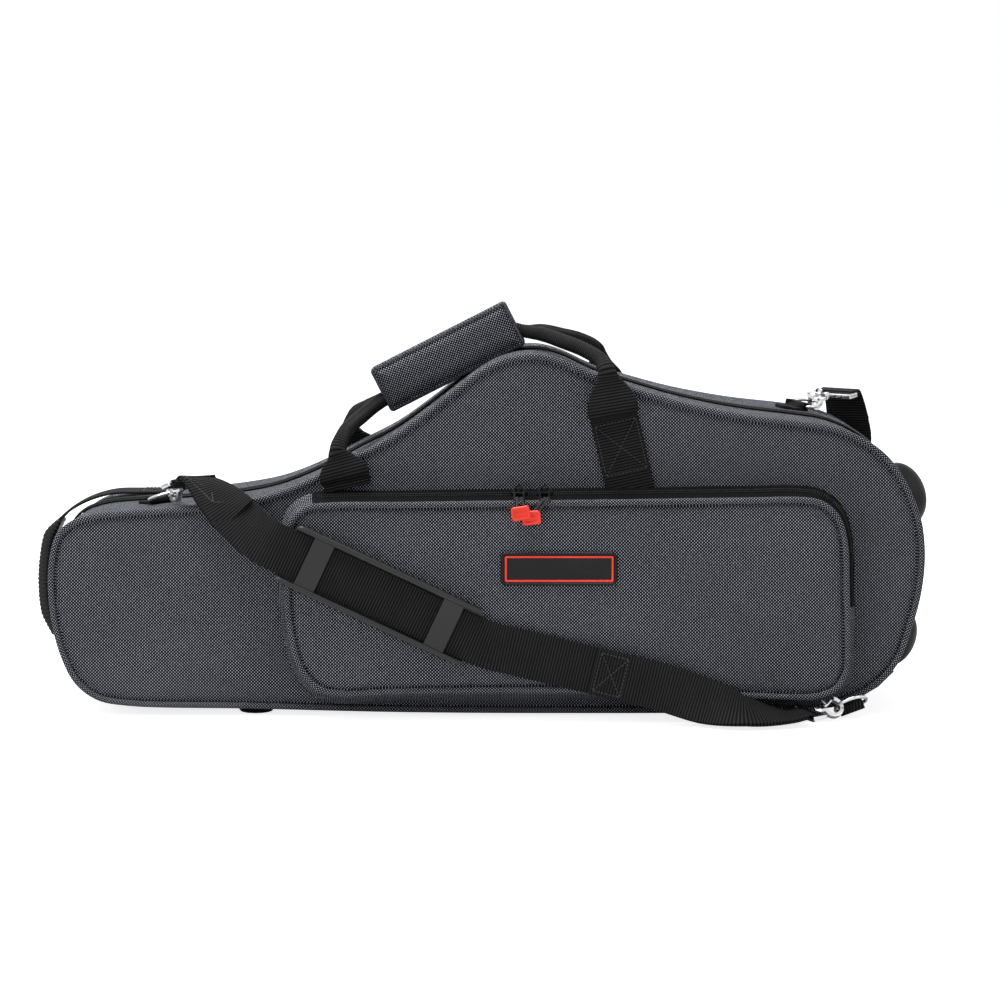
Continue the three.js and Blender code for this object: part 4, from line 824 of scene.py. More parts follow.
# Pocket zip: two tapes with coils between the panel and the gusset, sewn to both, a cloth tab over their end,
# and two dark metal sliders with wire links
pocket_zip_shares = (0.27, 0.709)
pocket_trim_share = 0.003
pocket_zip_count = 220
pocket_zip_sides = (("pocket_zip_front", -1, "pocket", 0.0138), ("pocket_zip_rear", 1, "lid", 0.0085))
strip_lifts = (0.0004, 0.0010, 0.0010, 0.0008, 0.0003)
pocket_coil = (0.0013, 0.0015)
pocket_tooth = (tooth_pitch * 0.66, 0.0026, 0.0014)
end_steps = ((-0.0055, 0.0004), (-0.0045, 0.0016), (0, 0.0016), (0.0045, 0.0016), (0.0055, 0.0004))
end_base = 0.0002
end_reach = (-0.0105, 0, 0.0060)
end_across = (0, 0.0014, 0.008, 0.015, 0.0165, 0.02, 0.03)
small_edge = 0.0006
first, last = pocket_zip_shares
pzip_path, pzip_out = stations(pocket_path, pocket_out, first, last, pocket_zip_count)
pzip_length = float(pocket_run[-1]) * (last - first)
pzip_step = pzip_length / (pocket_zip_count - 1)
coil_path, coil_out = stations(pocket_path, pocket_out, first + pocket_trim_share, last - pocket_trim_share,
                               int(pzip_length / tooth_pitch))
for name, side, body, tape_reach in pocket_zip_sides:
    near, far = pocket_zip_plane + side * pocket_zip_gap, pocket_zip_plane + side * tape_reach
    strip_profile = list(zip(strip_lifts, (near, near, (near + far) / 2, far, far)))
    strip = band(name + "_tape", strip_profile, pocket_place, pzip_path, pzip_out, pzip_step, zip_cloth)
    settle(strip, body, "zip_tape", name)
    teeth(name + "_teeth", body, pocket_place, coil_path, coil_out, pocket_coil[0],
          pocket_zip_plane + side * pocket_coil[1], pocket_tooth)
end_run = np.array(Vector(np.cross(pzip_out[-1], (0, 1, 0))).normalized())
end_near, end_mid, end_far = (pocket_zip_plane + reach for reach in end_reach)
end_rings = []
for step, lift in end_steps:
    corners = ((end_base, end_near), (lift, end_near), (lift, end_mid), (lift, end_far), (end_base, end_far),
               (end_base, end_mid))
    end_rings.append(np.array([pocket_place(pzip_path[-1:] + end_run * step, pzip_out[-1:], *corner)[0]
                               for corner in corners]))
end_coords = [[(r, step) for r in end_across] for step, _ in end_steps]
end_apexes = (end_rings[0].mean(0), end_rings[-1].mean(0))
end_tab = loft("pocket_zip_end", end_rings, (case_cloth,), *end_apexes, end_coords)
settle(finish_mesh(end_tab), "lid", "case_cloth")
for side in ("left", "right"):
    for node in (f"pocket_slider_{side}", f"pocket_link_{side}"):
        settle(softened(node, small_edge, dark_metal, segments=3), node + "_body", "dark_metal", node)

# Badge: a rubber patch glued to the pocket, a raised edge round a sunk face with a fine red frame, left bare
badge_size = (0.0912, 0.0262)
badge_corner = 0.004
badge_share = (0.583, 0.4185)
badge_seat = 0.0001
badge_rise = 0.0018
badge_steps = [
    (0.0004, 0), (0, 0.0004), (0, badge_rise - 0.0005), (0.0004, badge_rise), (0.0018, badge_rise),
    (0.0024, badge_rise - 0.0007), (0.0028, badge_rise - 0.0007), (0.0030, badge_rise - 0.0003),
    (0.0042, badge_rise - 0.0003), (0.0044, badge_rise - 0.0007), (0.0056, badge_rise - 0.0008),
]
badge_frame_steps = (6, 9)
badge_sharp = math.radians(30)
least_corner = 0.0004
red_plastic = grain_material("red_plastic", (0.88, 0.04, 0.019), 0.42, scale=300.0, bump=0.04, spread=0.05)


def rounded_ring(length, height, corner, inset, lift, steps=9):
    """A rounded rectangle in a local frame: x along, y up, z out."""
    curve = max(corner - inset, least_corner)
    x, y = length / 2 - inset - curve, height / 2 - inset - curve
    points = []
    for quarter, (sx, sy) in enumerate(((1, 1), (-1, 1), (-1, -1), (1, -1))):
        for k in range(steps):
            turn = (quarter + k / (steps - 1)) * math.pi / 2
            points.append((sx * x + curve * math.cos(turn), sy * y + curve * math.sin(turn), lift))
    return np.array(points)


def front_frame(place, slope):
    """x along a slope in the front plane, y up it, z to the front."""
    c, s = math.cos(slope), math.sin(slope)
    return Matrix(((c, -s, 0, place[0]), (0, 0, -1, place[1]), (s, c, 0, place[2]), (0, 0, 0, 1)))


def stepped(name, size, corner, steps, materials):
    """A moulded patch from its back's middle out over its edge and in to its face's middle."""
    rings = [rounded_ring(*size, corner, inset, lift) for inset, lift in steps]
    return loft(name, rings, materials, np.array((0, 0, 0.0)), np.array((0, 0, steps[-1][1])))


badge = stepped("badge_patch", badge_size, badge_corner, badge_steps, (rubber, red_plastic))
badge_per_ring = len(rounded_ring(*badge_size, badge_corner, 0, 0))
for face in badge.data.polygons[badge_frame_steps[0] * badge_per_ring:badge_frame_steps[1] * badge_per_ring]:
    face.material_index = 1
badge_place = at(badge_share[0], pocket_face - pocket_crown - badge_seat, badge_share[1])
badge.data.transform(front_frame(badge_place, 0))
settle(finish_mesh(badge, badge_sharp), "pocket", "rubber", "badge")

# Carry handles: webbing sewn flat to each panel, folded up over its end, rolled into a cord, and held in the
# middle by a padded leaf of case cloth that is sewn round its edge
handle_mid = -0.010
web_width = 0.038
web_thickness = 0.002
web_edge = math.radians(50)
cord_radius = 0.0060
cord_groove = 0.22
cord_face = (0.5, -0.8, 0.1)
panel_face = -front_depth - shell_crown - panel_gap
fold_right = at(0.646, panel_face - web_thickness, 0.833)
fold_left = at(0.34, panel_face - web_thickness, 0.659)
apex_plane = -front_depth - 0.0073
apex_right = at(0.637, apex_plane, 0.965)
apex_left = at(0.331, apex_plane, 0.74)
apex_section = (0.0135, 0.0112)
fold_bulge = 0.0058
web_right_length = 0.066
web_right_shares = (0.3, 0.65, 1)
web_left_length = 0.0075
web_box_rows = (0.004, 0.045)
web_box_half = 0.0165
web_row_half = 0.017
grip_size = (0.124, 0.0395, 0.0134)
grip_corner = 0.0035
grip_centre = at(0.4545, handle_mid - 0.007, 0.981)
grip_slope = math.radians(27)
grip_held_shares = (-0.42, 0, 0.42)
grip_edge = math.radians(60)
grip_rings = [(0.0010, -0.0066), (0.0, -0.0054), (0.0, 0.0020), (0.0007, 0.0036), (0.0026, 0.0041),
              (0.0038, 0.0034), (0.0052, 0.0050), (0.0075, 0.0062), (0.0110, 0.0069), (0.0150, 0.0072)]
grip_band_inset = 0.0008
grip_apexes = (-0.0066, 0.0073)
grip_flats = (-0.0064, 0.006)
grip_sewing_place = (0.0038, 0.0040)
grip_stitch = (0.0019, 0.0007, 0.0006)
grip_stitches = 104
left_route = [(0.338, 0.94, 0.785), (0.356, 0.52, 0.822), (0.375, 0.165, 0.852), (0.394, 0.125, 0.878)]
right_route = [(0.545, 0.16, 1.054), (0.567, 0.33, 1.049), (0.589, 0.54, 1.034), (0.612, 0.76, 1.016),
               (0.631, 0.95, 0.99)]
cord_shares = [1, 1, 1, 0.85, 0.7, 0.7, 0.7, 0.85, 1, 1, 1, 1]
flare_steps = [(0.0, 1.0, 0.002), (0.1, 1.06, 0.0034), (0.34, 1.03, 0.0034), (0.58, 0.82, 0.0044),
               (0.8, 0.54, 0.0070)]
handle_count = 420
key_reach = 112
far_off = 9
groove_turn = 0.9
groove_spread = 0.22
stitch_step = 0.0030
stitch_size = (0.0023, 0.0009, 0.0009)


def key(place, across, width, thickness, round_share=1.0):
    """One section of a swept band: place, direction across it, width, thickness, and how round its edges are."""
    return [*place, *Vector(across).normalized(), width, thickness, round_share * min(width, thickness) / 2]


def swept(name, keys, count, material, groove=0.0, ribs=0, rib_height=0.0):
    """A band of changing section along a smooth path, closed at its ends, its cloth running along it."""
    rows = np.array(keys, float)
    dense = smooth_path(rows[:, :3], (len(rows) - 1) * spline_steps + 1)
    lengths = running_length(dense)
    at_key = []
    last = 0
    for row in rows:
        near = np.linalg.norm(dense - row[:3], axis=1)
        near[:last] = far_off
        if len(at_key) < len(rows) - 1:
            near[last + key_reach:] = far_off
        last = int(np.argmin(near))
        at_key.append(lengths[last] + 1e-9 * len(at_key))
    wanted = np.linspace(0, lengths[-1], count)
    place = np.stack([np.interp(wanted, lengths, dense[:, k]) for k in range(3)], axis=1)
    rest = np.stack([np.interp(wanted, at_key, rows[:, k]) for k in range(3, 9)], axis=1)
    run = np.gradient(place, axis=0)
    run /= np.linalg.norm(run, axis=1)[:, None]
    rings, coords = [], []
    for i in range(count):
        across = rest[i, :3] - rest[i, :3].dot(run[i]) * run[i]
        across /= np.linalg.norm(across)
        through = np.cross(across, run[i])
        swell = rib_height * abs(math.sin(math.pi * ribs * i / (count - 1))) if ribs else 0
        flat = rounded_ring(rest[i, 3] + swell, rest[i, 4] + swell, rest[i, 5] + swell / 2, 0, 0, steps=7)
        if groove:
            turn = np.arctan2(flat[:, 1], flat[:, 0])
            dip = np.exp(-((turn - groove_turn) / groove_spread) ** 2)
            sink = 1 - groove * dip * min(1, rest[i, 4] / rest[i, 3])
            flat[:, :2] *= sink[:, None]
        rings.append(place[i] + flat[:, :1] * across + flat[:, 1:2] * through)
        coords.append([(wanted[i], v) for v in running_length(np.vstack([flat, flat[:1]]))])
    piece = loft(name, rings, (material,), rings[0].mean(0), rings[-1].mean(0), coords)
    return finish_mesh(piece, web_edge)


def joined(name, pieces):
    """Joins pieces into the first one."""
    with bpy.context.temp_override(active_object=pieces[0], selected_editable_objects=pieces):
        bpy.ops.object.join()
    pieces[0].name = name
    return pieces[0]


def stitches(name, lines, up):
    """Rows of black thread along straight lines."""
    places, along, lift = [], [], []
    for start, end in lines:
        start, end = Vector(start), Vector(end)
        count = max(2, round((end - start).length / stitch_step))
        for k in range(count):
            places.append(start.lerp(end, (k + 0.5) / count))
            along.append(end - start)
            lift.append(up)
    return beads(name, places, along, lift, stitch_size, black_thread)


def crossed(middle, run, across, near, far, half):
    """The lines of a sewn box with a cross in it: its sides and both diagonals."""
    corners = [middle + run * d + across * half * s for d, s in ((near, -1), (near, 1), (far, 1), (far, -1))]
    lines = [(corners[i], corners[(i + 1) % 4]) for i in range(4)]
    return lines + [(corners[0], corners[2]), (corners[1], corners[3])]


def turned_to_rear(piece, name):
    """A copy of a front piece on the other side of the handles' middle plane."""
    mesh = piece.data.copy()
    flip = Matrix.Diagonal((1, -1, 1, 1))
    flip[1][3] = 2 * (case_middle.y + handle_mid)
    mesh.transform(flip)
    mesh.flip_normals()
    return finish_mesh(placed(name, mesh), web_edge)


fold_slope = math.atan2(fold_right.z - fold_left.z, fold_right.x - fold_left.x)
fold_line = Vector((math.cos(fold_slope), 0, math.sin(fold_slope)))
web_down = Vector((math.sin(fold_slope), 0, -math.cos(fold_slope)))
web_mid = Vector((0, web_thickness / 2, 0))


def flare_keys(fold, apex):
    """Sections from a fold, over its bulge, to where the webbing is rolled into a cord."""
    keys = []
    for share, width, thickness in flare_steps:
        spot = (fold + web_mid).lerp(apex, share)
        bulge = fold_bulge * math.sin(math.pi * share ** 0.5)
        spot.y = fold.y + web_mid.y + (apex.y - fold.y - web_mid.y) * share ** 2 - bulge
        across = fold_line.lerp(Vector((1, 0, 0)), share)
        keys.append(key(spot, across, web_width * width, thickness))
    return keys + [key(apex, (1, 0, 0), *apex_section)]


def web_key(fold, length, share=1):
    return key(fold + web_mid + web_down * length * share, fold_line, web_width, web_thickness)


grip_along = Vector((math.cos(grip_slope), 0, math.sin(grip_slope)))
cord_places = [at(x, -y * front_depth, z) for x, y, z in left_route]
cord_places += [grip_centre + grip_along * grip_size[0] * share for share in grip_held_shares]
cord_places += [at(x, -y * front_depth, z) for x, y, z in right_route]
cord_keys = [key(place, cord_face, cord_radius * 2 * share, cord_radius * 2 * share)
             for place, share in zip(cord_places, cord_shares)]
handle_keys = [web_key(fold_left, web_left_length)]
handle_keys += flare_keys(fold_left, apex_left) + cord_keys + flare_keys(fold_right, apex_right)[::-1]
handle_keys += [web_key(fold_right, web_right_length, share) for share in web_right_shares]
handle_strap = swept("front_handle_strap", handle_keys, handle_count, black_webbing, groove=cord_groove)

web_lift = Vector((0, -0.0003, 0))
web_row = fold_left + web_down * web_box_rows[0]
sewing = crossed(fold_right + web_lift, web_down, fold_line, *web_box_rows, web_box_half)
sewing += [(web_row - fold_line * web_row_half, web_row + fold_line * web_row_half)]
web_thread = stitches("front_web_thread", sewing, (0, -1, 0))

leaf_rings = [rounded_ring(*grip_size[:2], grip_corner, inset, lift, steps=12) for inset, lift in grip_rings]
leaf_coords = []
for ring, (inset, lift) in zip(leaf_rings, grip_rings):
    ring[:, 2] += np.sin(ring[:, 0] * 95 + 1) * np.sin(ring[:, 1] * 140) * np.clip(ring[:, 2], 0, 1) * 0.09
    loop = np.vstack([ring, ring[:1]])
    edge = [(u, lift) for u in running_length(loop)]
    leaf_coords.append(edge if inset < grip_band_inset else [(p[0], p[1]) for p in loop])
leaf_apexes = [np.array((0, 0, z)) for z in grip_apexes]
leaf = loft("grip_leaf", leaf_rings, (case_cloth,), *leaf_apexes, leaf_coords)
for corner in leaf.data.loops:
    spot = leaf.data.vertices[corner.vertex_index].co
    if not grip_flats[0] <= spot.z <= grip_flats[1]:
        leaf.data.uv_layers["cloth"].data[corner.index].uv = (spot.x, spot.y)
grip_frame = front_frame(grip_centre, grip_slope)
leaf.data.transform(grip_frame)
finish_mesh(leaf, grip_edge)
hem_ring = rounded_ring(*grip_size[:2], grip_corner, *grip_sewing_place, steps=12)
hem = [grip_frame @ Vector(p) for p in smooth_path(list(hem_ring), grip_stitches, closed=True)]
hem_along = [after - place for place, after in zip(hem, hem[1:] + hem[:1])]
leaf_thread = beads("grip_thread", hem, hem_along, [(0, -1, 0)] * len(hem), grip_stitch, grey_thread)

handle_pieces = {"front": (handle_strap, web_thread, leaf, leaf_thread)}
for side, shell_body in (("front", "lid"), ("rear", "case")):
    if side == "rear":
        rear_names = ("rear_handle_strap", "rear_web_thread", "rear_grip_cover", "rear_grip_thread")
        handle_pieces[side] = [turned_to_rear(*pair) for pair in zip(handle_pieces["front"], rear_names)]
    strap_piece, thread_piece, leaf_piece, leaf_sewing = handle_pieces[side]
    handle_body = side + "_handle"
    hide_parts(f"{side}_handle_loop", f"{side}_handle_web_right", f"{side}_handle_web_left")
    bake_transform(strap_piece)
    settle(thread_piece, shell_body, "black_webbing")
    settle(leaf_piece, handle_body, "case_cloth", f"{side}_grip_leaf")
    settle(leaf_sewing, handle_body, "case_cloth")

# Strap chains: a sewn tab, a chrome ring, a swivel hook with its gate, and the eye that the webbing goes round
chrome_dark = (0.62, 0.62, 0.63, 1)
chrome_light = (0.8, 0.8, 0.81, 1)
chrome_scratch = 0.0002
chain_sides = (("left", "lid"), ("right", "lid"), ("rear", "case"))
chain_parts = (("hook", "hook", 0.0008), ("hook_gate", "gate", 0.0005))
eye_edge = 0.0007
tab_edge = 0.0004
wire_angles = (math.radians(20), math.radians(180))
chrome, make = new_material("chrome")
scratch_place = make("ShaderNodeTexCoord", out=3)
scratch_look = {"Vector": scratch_place, "Scale": 260.0, "Detail": 6.0, "Distortion": 2.0}
scratch = make("ShaderNodeTexNoise", scratch_look)
chrome_rough = make("ShaderNodeMapRange", {0: scratch, 1: 0.35, 2: 0.75, 3: 0.10, 4: 0.26})
chrome_tone = make("ShaderNodeMix", {0: scratch, 6: chrome_dark, 7: chrome_light}, out=2, data_type="RGBA")
surface(chrome, make, chrome_tone, chrome_rough, scratch, 0.04, chrome_scratch, Metallic=1.0)


def merge_triangles(work):
    bmesh.ops.join_triangles(work, faces=work.faces, angle_face_threshold=wire_angles[0],
                             angle_shape_threshold=wire_angles[1])


def node_points(node):
    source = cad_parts[node]
    points = np.array([source.matrix_world @ v.co for v in source.data.vertices])
    return np.unique(points.round(6), axis=0)


def own_axes(node, along_hint, face_hint):
    """Middle and directions of a flat node: along, across and out of its face."""
    points = node_points(node)
    centre = points.mean(0)
    _, axes = np.linalg.eigh(np.cov((points - centre).T))
    face, along = axes[:, 0], axes[:, 1]
    along = along * (1 if along.dot(along_hint) > 0 else -1)
    face = face * (1 if face.dot(face_hint) > 0 else -1)
    centre = centre + along * ((points @ along).max() + (points @ along).min() - 2 * centre.dot(along)) / 2
    return centre, along, np.cross(face, along), face


def flat_uv(piece, u, v):
    """Lays a piece's cloth by two directions."""
    layer = piece.data.uv_layers.get("cloth") or piece.data.uv_layers.new(name="cloth")
    points = np.array([tuple(vertex.co) for vertex in piece.data.vertices])
    index = np.array([loop.vertex_index for loop in piece.data.loops])
    coords = np.stack([points[index] @ u, points[index] @ v], axis=1)
    layer.data.foreach_set("uv", coords.astype(np.float32).ravel())


eyes = {}
for prefix, tab_body in chain_sides:
    eye_run = node_points(f"{prefix}_eye").mean(0) - node_points(f"{prefix}_hook").mean(0)
    eyes[prefix] = own_axes(f"{prefix}_eye", eye_run, np.array((0, 0, 1)))
    wire = cad_copy(f"{prefix}_ring", "_wire", chrome, merge_triangles)
    rounding = wire.modifiers.new("rounding", "SUBSURF")
    rounding.levels = rounding.render_levels = 2
    settle(applied(wire), f"{prefix}_ring_body", "chrome", f"{prefix}_ring")
    for part, body, edge in chain_parts:
        node = f"{prefix}_{part}"
        settle(softened(node, edge, chrome, segments=3), f"{prefix}_{body}_body", "chrome", node)
    settle(softened(f"{prefix}_eye", eye_edge, chrome, segments=3), tab_body, "chrome", f"{prefix}_eye")
    tab_piece = softened(f"{prefix}_tab", tab_edge, black_webbing)
    flat_uv(tab_piece, *eyes[prefix][1:3])
    settle(tab_piece, tab_body, "black_webbing", f"{prefix}_tab")

# Pocket pulls: a black cord end under each wire link, moulded into a red grip with a raised edge and bar
tab_size = (0.0148, 0.0110)
tab_corner = 0.0026
tab_steps = [(0.0007, 0), (0, 0.0006), (0, 0.0034), (0.0005, 0.0040), (0.0021, 0.0040), (0.0025, 0.0029),
             (0.0046, 0.0029), (0.0048, 0.0037)]
tab_seat = 0.0002
tab_pulls = (
    ("left", math.radians(9), (0.0012, -0.0046, -0.0012), (-0.0030, 0.0030)),
    ("right", math.radians(7), (-0.0105, -0.0004, -0.0052), (0.0012, 0.0058)),
)
tab_cord = 0.0023
tab_cord_top = (0.0022, 0.0008)
tab_cord_foot = (0.0020, 0.0010)
tab_cord_shares = (0, 0.3, 0.6, 1)
for side, slope, shift, feet in tab_pulls:
    points = node_points(f"pocket_tab_{side}")
    low, high = points.min(0), points.max(0)
    middle = (low[0] + high[0]) / 2
    place = Vector((middle, high[1] - tab_seat, low[2] + tab_size[1] / 2)) + Vector(shift)
    top = Vector((middle, high[1] - tab_cord_top[0], high[2] - tab_cord_top[1]))
    red = stepped(f"tab_{side}_grip", tab_size, tab_corner, tab_steps, (red_plastic,))
    red.data.transform(front_frame(place, slope))
    settle(finish_mesh(red, badge_sharp), f"pocket_tab_{side}_body", "red_plastic", f"pocket_tab_{side}")
    cords = []
    for foot in feet:
        start = place + Vector((foot, -tab_cord_foot[0], tab_size[1] / 2 - tab_cord_foot[1]))
        end = top + Vector((foot * 0.5, 0, 0))
        cord_run = [key(start.lerp(end, share), (1, 0, 0), tab_cord, tab_cord) for share in tab_cord_shares]
        cords.append(swept(f"tab_{side}_cord", cord_run, 12, black_plastic))
    settle(joined(f"tab_{side}_cords", cords), f"pocket_tab_{side}_body", "black_plastic")

# Shoulder strap: 38 mm webbing, each end taken round its eye and sewn back on itself, the right end over a
# longer way
strap_thickness = 0.0018
strap_stand = 0.0075
strap_plane = pocket_face - strap_stand
strap_stops = [
    (0.205, -1.12 * front_depth, 0.582, (0.05, -0.75, 0.55)), (0.234, strap_plane * 0.93, 0.522, (0, -1, 0.12)),
    (0.256, strap_plane, 0.4897, (0, -1, 0)), (0.286, strap_plane, 0.455, (0, -1, 0)),
    (0.384, strap_plane, 0.342, (0, -1, 0)), (0.498, strap_plane, 0.21, (0, -1, 0)),
    (0.535, strap_plane, 0.187, (0, -1, 0)), (0.622, strap_plane, 0.135, (0, -1, 0)),
    (0.705, strap_plane - 0.002, 0.085, (0, -1, 0.1)), (0.748, strap_plane - 0.0072, 0.053, (0, -1, 0.5)),
    (0.793, strap_plane - 0.0132, 0.028, (0, -0.5, 1)),
]
lead_reaches = (0.0095, 0.0135)
bar_along = 0.0045
bend_radii = (0.0029, 0.0026)
tail_width = web_width - 0.0008
tail_rise = 0.0019
tail_left_share = 0.35
box_rise = 0.0031
box_half = 0.0155
left_box_shares = (0.05, 0.95)
right_box_shares = (0.05, 0.42)
pad_edge = 0.0013
rail_reach, rail_offset, rail_width, rail_height = 0.0795, 0.0222, 0.0052, 0.0046
rail_rise = Vector((0, -0.0036, 0))
rail_shares = ((-1, 0.35), (-0.97, 0.8), (-0.6, 1), (0, 1), (0.6, 1), (0.97, 0.8), (1, 0.35))


def eye_bend(prefix):
    """Places and faces round the eye's bar, from the tail's side to the main webbing's side."""
    centre, along, across, face = eyes[prefix]
    bend = []
    for turn in range(90, 271, 30):
        a = math.radians(turn)
        spot = centre + along * (bar_along + bend_radii[0] * math.cos(a)) + face * bend_radii[1] * math.sin(a)
        bend.append((Vector(spot), Vector(along * math.cos(a) + face * math.sin(a))))
    return bend


def lead_stops(prefix):
    centre, along, across, face = eyes[prefix]
    return [(Vector(centre + along * reach), Vector(face)) for reach in lead_reaches]


def strap_keys(stops, hint, width=web_width, raised=0.0):
    """Sections along stops of (place, face): the width lies square to the run and the face."""
    keys, before = [], Vector(hint)
    for i, (place, face) in enumerate(stops):
        run = stops[min(i + 1, len(stops) - 1)][0] - stops[max(i - 1, 0)][0]
        across = run.cross(face).normalized()
        across = across if across.dot(before) > 0 else -across
        before = across
        keys.append(key(place + face.normalized() * raised, across, width, strap_thickness))
    return keys


def box_thread(name, stops, shares):
    """A sewn box and cross laid on a tail between two of its stops."""
    (a, face), (b, _) = stops
    across = (b - a).cross(face).normalized()
    lines = crossed(a + face.normalized() * box_rise, b - a, across, *shares, box_half)
    return stitches(name, lines, face)


route_stops = [(at(x, y, z), Vector(face)) for x, y, z, face in strap_stops]
left_bend, right_bend = eye_bend("left"), eye_bend("right")
left_lead, right_lead = lead_stops("left"), lead_stops("right")[::-1]
left_hint, right_hint = eyes["left"][2], eyes["right"][2]
whole = left_bend[3:] + left_lead + route_stops + right_lead + right_bend[3:][::-1]
pad_stop = len(left_bend[3:]) + 2 + 4
pad_hint = strap_keys(whole[pad_stop - 1:pad_stop + 1], left_hint)[1][3:6]
tail_hint = strap_keys(route_stops[6:8], left_hint)[1][3:6]
left_main = swept("strap_left", strap_keys(whole[:pad_stop + 1], left_hint), 260, black_webbing)
right_main = swept("strap_right", strap_keys(whole[pad_stop:], pad_hint), 300, black_webbing)
left_end = (route_stops[0][0].lerp(route_stops[1][0], tail_left_share), route_stops[1][1])
left_keys = strap_keys([left_bend[3], left_bend[1], left_bend[0]], left_hint)
left_keys += strap_keys(left_lead + route_stops[:1] + [left_end], left_hint, tail_width, tail_rise)
left_tail = swept("strap_left_tail", left_keys, 120, black_webbing)
right_keys = strap_keys(route_stops[7:] + right_lead, tail_hint, tail_width, tail_rise)
right_keys += strap_keys([right_bend[0], right_bend[1], right_bend[3]], right_hint)
right_tail = swept("strap_right_tail", right_keys, 200, black_webbing)
left_thread = box_thread("strap_left_thread", (left_lead[1], route_stops[0]), left_box_shares)
right_thread = box_thread("strap_right_thread", (route_stops[7], route_stops[8]), right_box_shares)
strap_left_piece = joined("shoulder_strap_left", [left_main, left_tail, left_thread])
strap_right_piece = joined("shoulder_strap_right", [right_main, right_tail, right_thread])
for piece in (strap_left_piece, strap_right_piece):
    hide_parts("shoulder_strap")
tuple(left_lead[1][0])
tuple(route_stops[3][0])
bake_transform(strap_left_piece)
tuple(route_stops[7][0])
tuple(right_lead[1][0])
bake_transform(strap_right_piece)

# Strap pad: a moulded plate with two bridges that the webbing runs under, stiffened by a rail along each edge
pad = softened("shoulder_pad", pad_edge, black_plastic, segments=3)
settle(pad, "strap_pad", "black_plastic", "shoulder_pad")
pad_run = (route_stops[5][0] - route_stops[3][0]).normalized()
pad_up = Vector((-pad_run.z, 0, pad_run.x))
pad_points = node_points("shoulder_pad")
pad_middle = Vector((pad_points.min(0) + pad_points.max(0)) / 2)
rails = []
for side in (-1, 1):
    rail_keys = []
    for reach, size in rail_shares:
        spot = pad_middle + pad_run * rail_reach * reach + pad_up * rail_offset * side + rail_rise
        rail_keys.append(key(spot, pad_up, rail_width * size, rail_height * size))
    rails.append(swept("pad_rail", rail_keys, 90, black_plastic))
settle(joined("pad_rails", rails), "strap_pad", "black_plastic")

# Second strap: clipped at the top right corner, over the edge and down the rear panel to where it is sewn
rear_stand = 0.0023
rear_face = rear_depth + shell_crown + rear_stand
rear_stops = [
    (0.944, 1.07 * rear_depth, 0.765, (0.4, 0.8, 0.4)), (0.946, 1.12 * rear_depth, 0.69, (0.1, 1, 0)),
    (0.93, rear_face, 0.56, (0, 1, 0)), (0.8, rear_face, 0.4, (0, 1, 0)), (0.6, rear_face, 0.24, (0, 1, 0)),
    (0.44, rear_face, 0.14, (0, 1, 0)),
]
rear_box_rows = (0.004, 0.036)
rear_box_rise = Vector((0, 0.0012, 0))
rear_route = [(at(x, y, z), Vector(face)) for x, y, z, face in rear_stops]
rear_bend, rear_lead, rear_hint = eye_bend("rear"), lead_stops("rear"), eyes["rear"][2]
rear_whole = rear_bend[3:] + rear_lead + rear_route
rear_main = swept("rear_strap_web", strap_keys(rear_whole, rear_hint), 300, black_webbing)
rear_keys = strap_keys([rear_bend[3], rear_bend[1], rear_bend[0]], rear_hint)
rear_keys += strap_keys(rear_lead + rear_route[:1], rear_hint, tail_width, tail_rise)
rear_tail = swept("rear_strap_tail", rear_keys, 60, black_webbing)
rear_run = (rear_route[-2][0] - rear_route[-1][0]).normalized()
rear_across = Vector((-rear_run.z, 0, rear_run.x))
rear_lines = crossed(rear_route[-1][0] + rear_box_rise, rear_run, rear_across, *rear_box_rows, box_half)
rear_thread = stitches("rear_strap_thread", rear_lines, (0, 1, 0))
settle(joined("rear_strap_piece", [rear_main, rear_tail, rear_thread]), "case", "black_webbing", "rear_strap")

# End handle: a web from the top band over the neck end, a ribbed rubber grip bowed out, and the web's lower end
end_plane = 0.32 * rear_depth
end_width = 0.034
end_web = 0.002
end_grip = 0.0098
end_grip_share = 0.4
end_round_share = 0.8
end_ribs = 28
end_rib_height = 0.0011
end_box_half = (0.012, 0.013)
end_box_rise = Vector((0, 0, 0.0012))
grip_route = [(-0.013, 0.49), (-0.024, 0.45), (-0.03, 0.38), (-0.032, 0.3), (-0.029, 0.22), (-0.02, 0.155)]
web_route = [(0.118, 0.575), (0.085, 0.575), (0.05, 0.572), (0.02, 0.55), (-0.004, 0.515), (-0.0125, 0.494)]
low_route = [(-0.0195, 0.151), (-0.008, 0.115), (0.009, 0.092), (0.02, 0.074)]


def end_keys(route, thickness, round_share=1.0, end_share=1.0):
    shares = [end_share] + [1] * (len(route) - 2) + [end_share]
    return [key(at(x, end_plane, z), (0, 1, 0), end_width, thickness * share, round_share)
            for (x, z), share in zip(route, shares)]


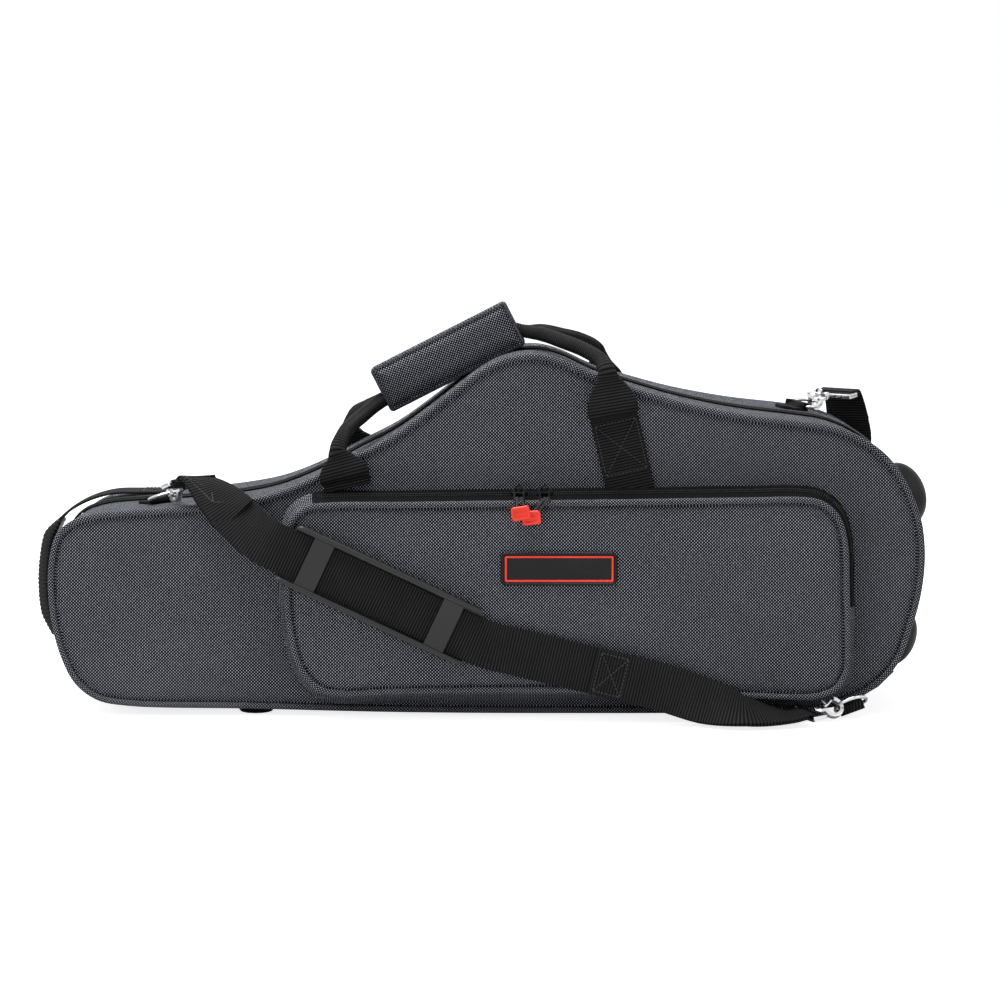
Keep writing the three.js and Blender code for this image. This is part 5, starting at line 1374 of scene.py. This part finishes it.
end_grip_keys = end_keys(grip_route, end_grip, end_round_share, end_grip_share)
end_grip_piece = swept("end_grip_ribs", end_grip_keys, end_ribs * 8 + 1, rubber, ribs=end_ribs,
                       rib_height=end_rib_height)
settle(end_grip_piece, "case", "rubber", "end_handle_grip")
for name, route, count, node in (("end_web_top", web_route, 90, "end_handle_web"),
                                 ("end_web_low", low_route, 50, "end_handle_lower_web")):
    settle(swept(name, end_keys(route, end_web), count, black_webbing), "case", "black_webbing", node)
end_lines = crossed(at(0.105, end_plane, 0.575) + end_box_rise, Vector((0, 1, 0)), Vector((1, 0, 0)),
                    -end_box_half[1], end_box_half[1], end_box_half[0])
settle(stitches("end_web_thread", end_lines, (0, 0, 1)), "case", "black_webbing")

# Feet, bumpers and guard: moulded rubber, fixed to the shells' edges
foot_edge = 0.0012
foot_table = (
    ("front_foot", "lid"), ("rear_foot_left", "case"), ("rear_foot_right", "case"), ("corner_guard", "lid"),
)
bumper_table = (
    ("end_bumper_upper", (0.0195, 0.014, 0.027), 0.0),
    ("end_bumper_lower", (0.0215, 0.014, 0.027), 0.008),
)
bumper_sunk_share = 0.2
bumper_plane = case_middle.y - 0.29 * front_depth
bumper_ridge = (0.006, 26)
for foot_node, body in foot_table:
    settle(softened(foot_node, foot_edge, rubber, segments=3), body, "rubber", foot_node)
for bumper_node, reach, rise in bumper_table:
    points = node_points(bumper_node)
    middle = (points.min(0) + points.max(0)) / 2 + np.array((0, 0, rise))
    nearest = int(np.argmin(np.linalg.norm((outline - middle)[:, ::2], axis=1)))
    away = Vector(outline_out[nearest]).normalized()
    side_run = Vector((0, 1, 0)).cross(away)
    place = Vector(outline[nearest])
    place.y = bumper_plane
    work = bmesh.new()
    bmesh.ops.create_uvsphere(work, u_segments=56, v_segments=32, radius=1)
    for vertex in work.verts:
        x, y, z = vertex.co
        ridge = 1 + bumper_ridge[0] * math.cos(y * bumper_ridge[1]) * max(0, x)
        out = x * reach[0] * (1 if x > 0 else bumper_sunk_share) * ridge
        vertex.co = place + away * out + Vector((0, 1, 0)) * y * reach[1] + side_run * z * reach[2]
    mesh = bpy.data.meshes.new(bumper_node + "_dome")
    work.to_mesh(mesh)
    work.free()
    mesh.materials.append(rubber)
    settle(finish_mesh(placed(bumper_node + "_dome", mesh)), "lid", "rubber", bumper_node)
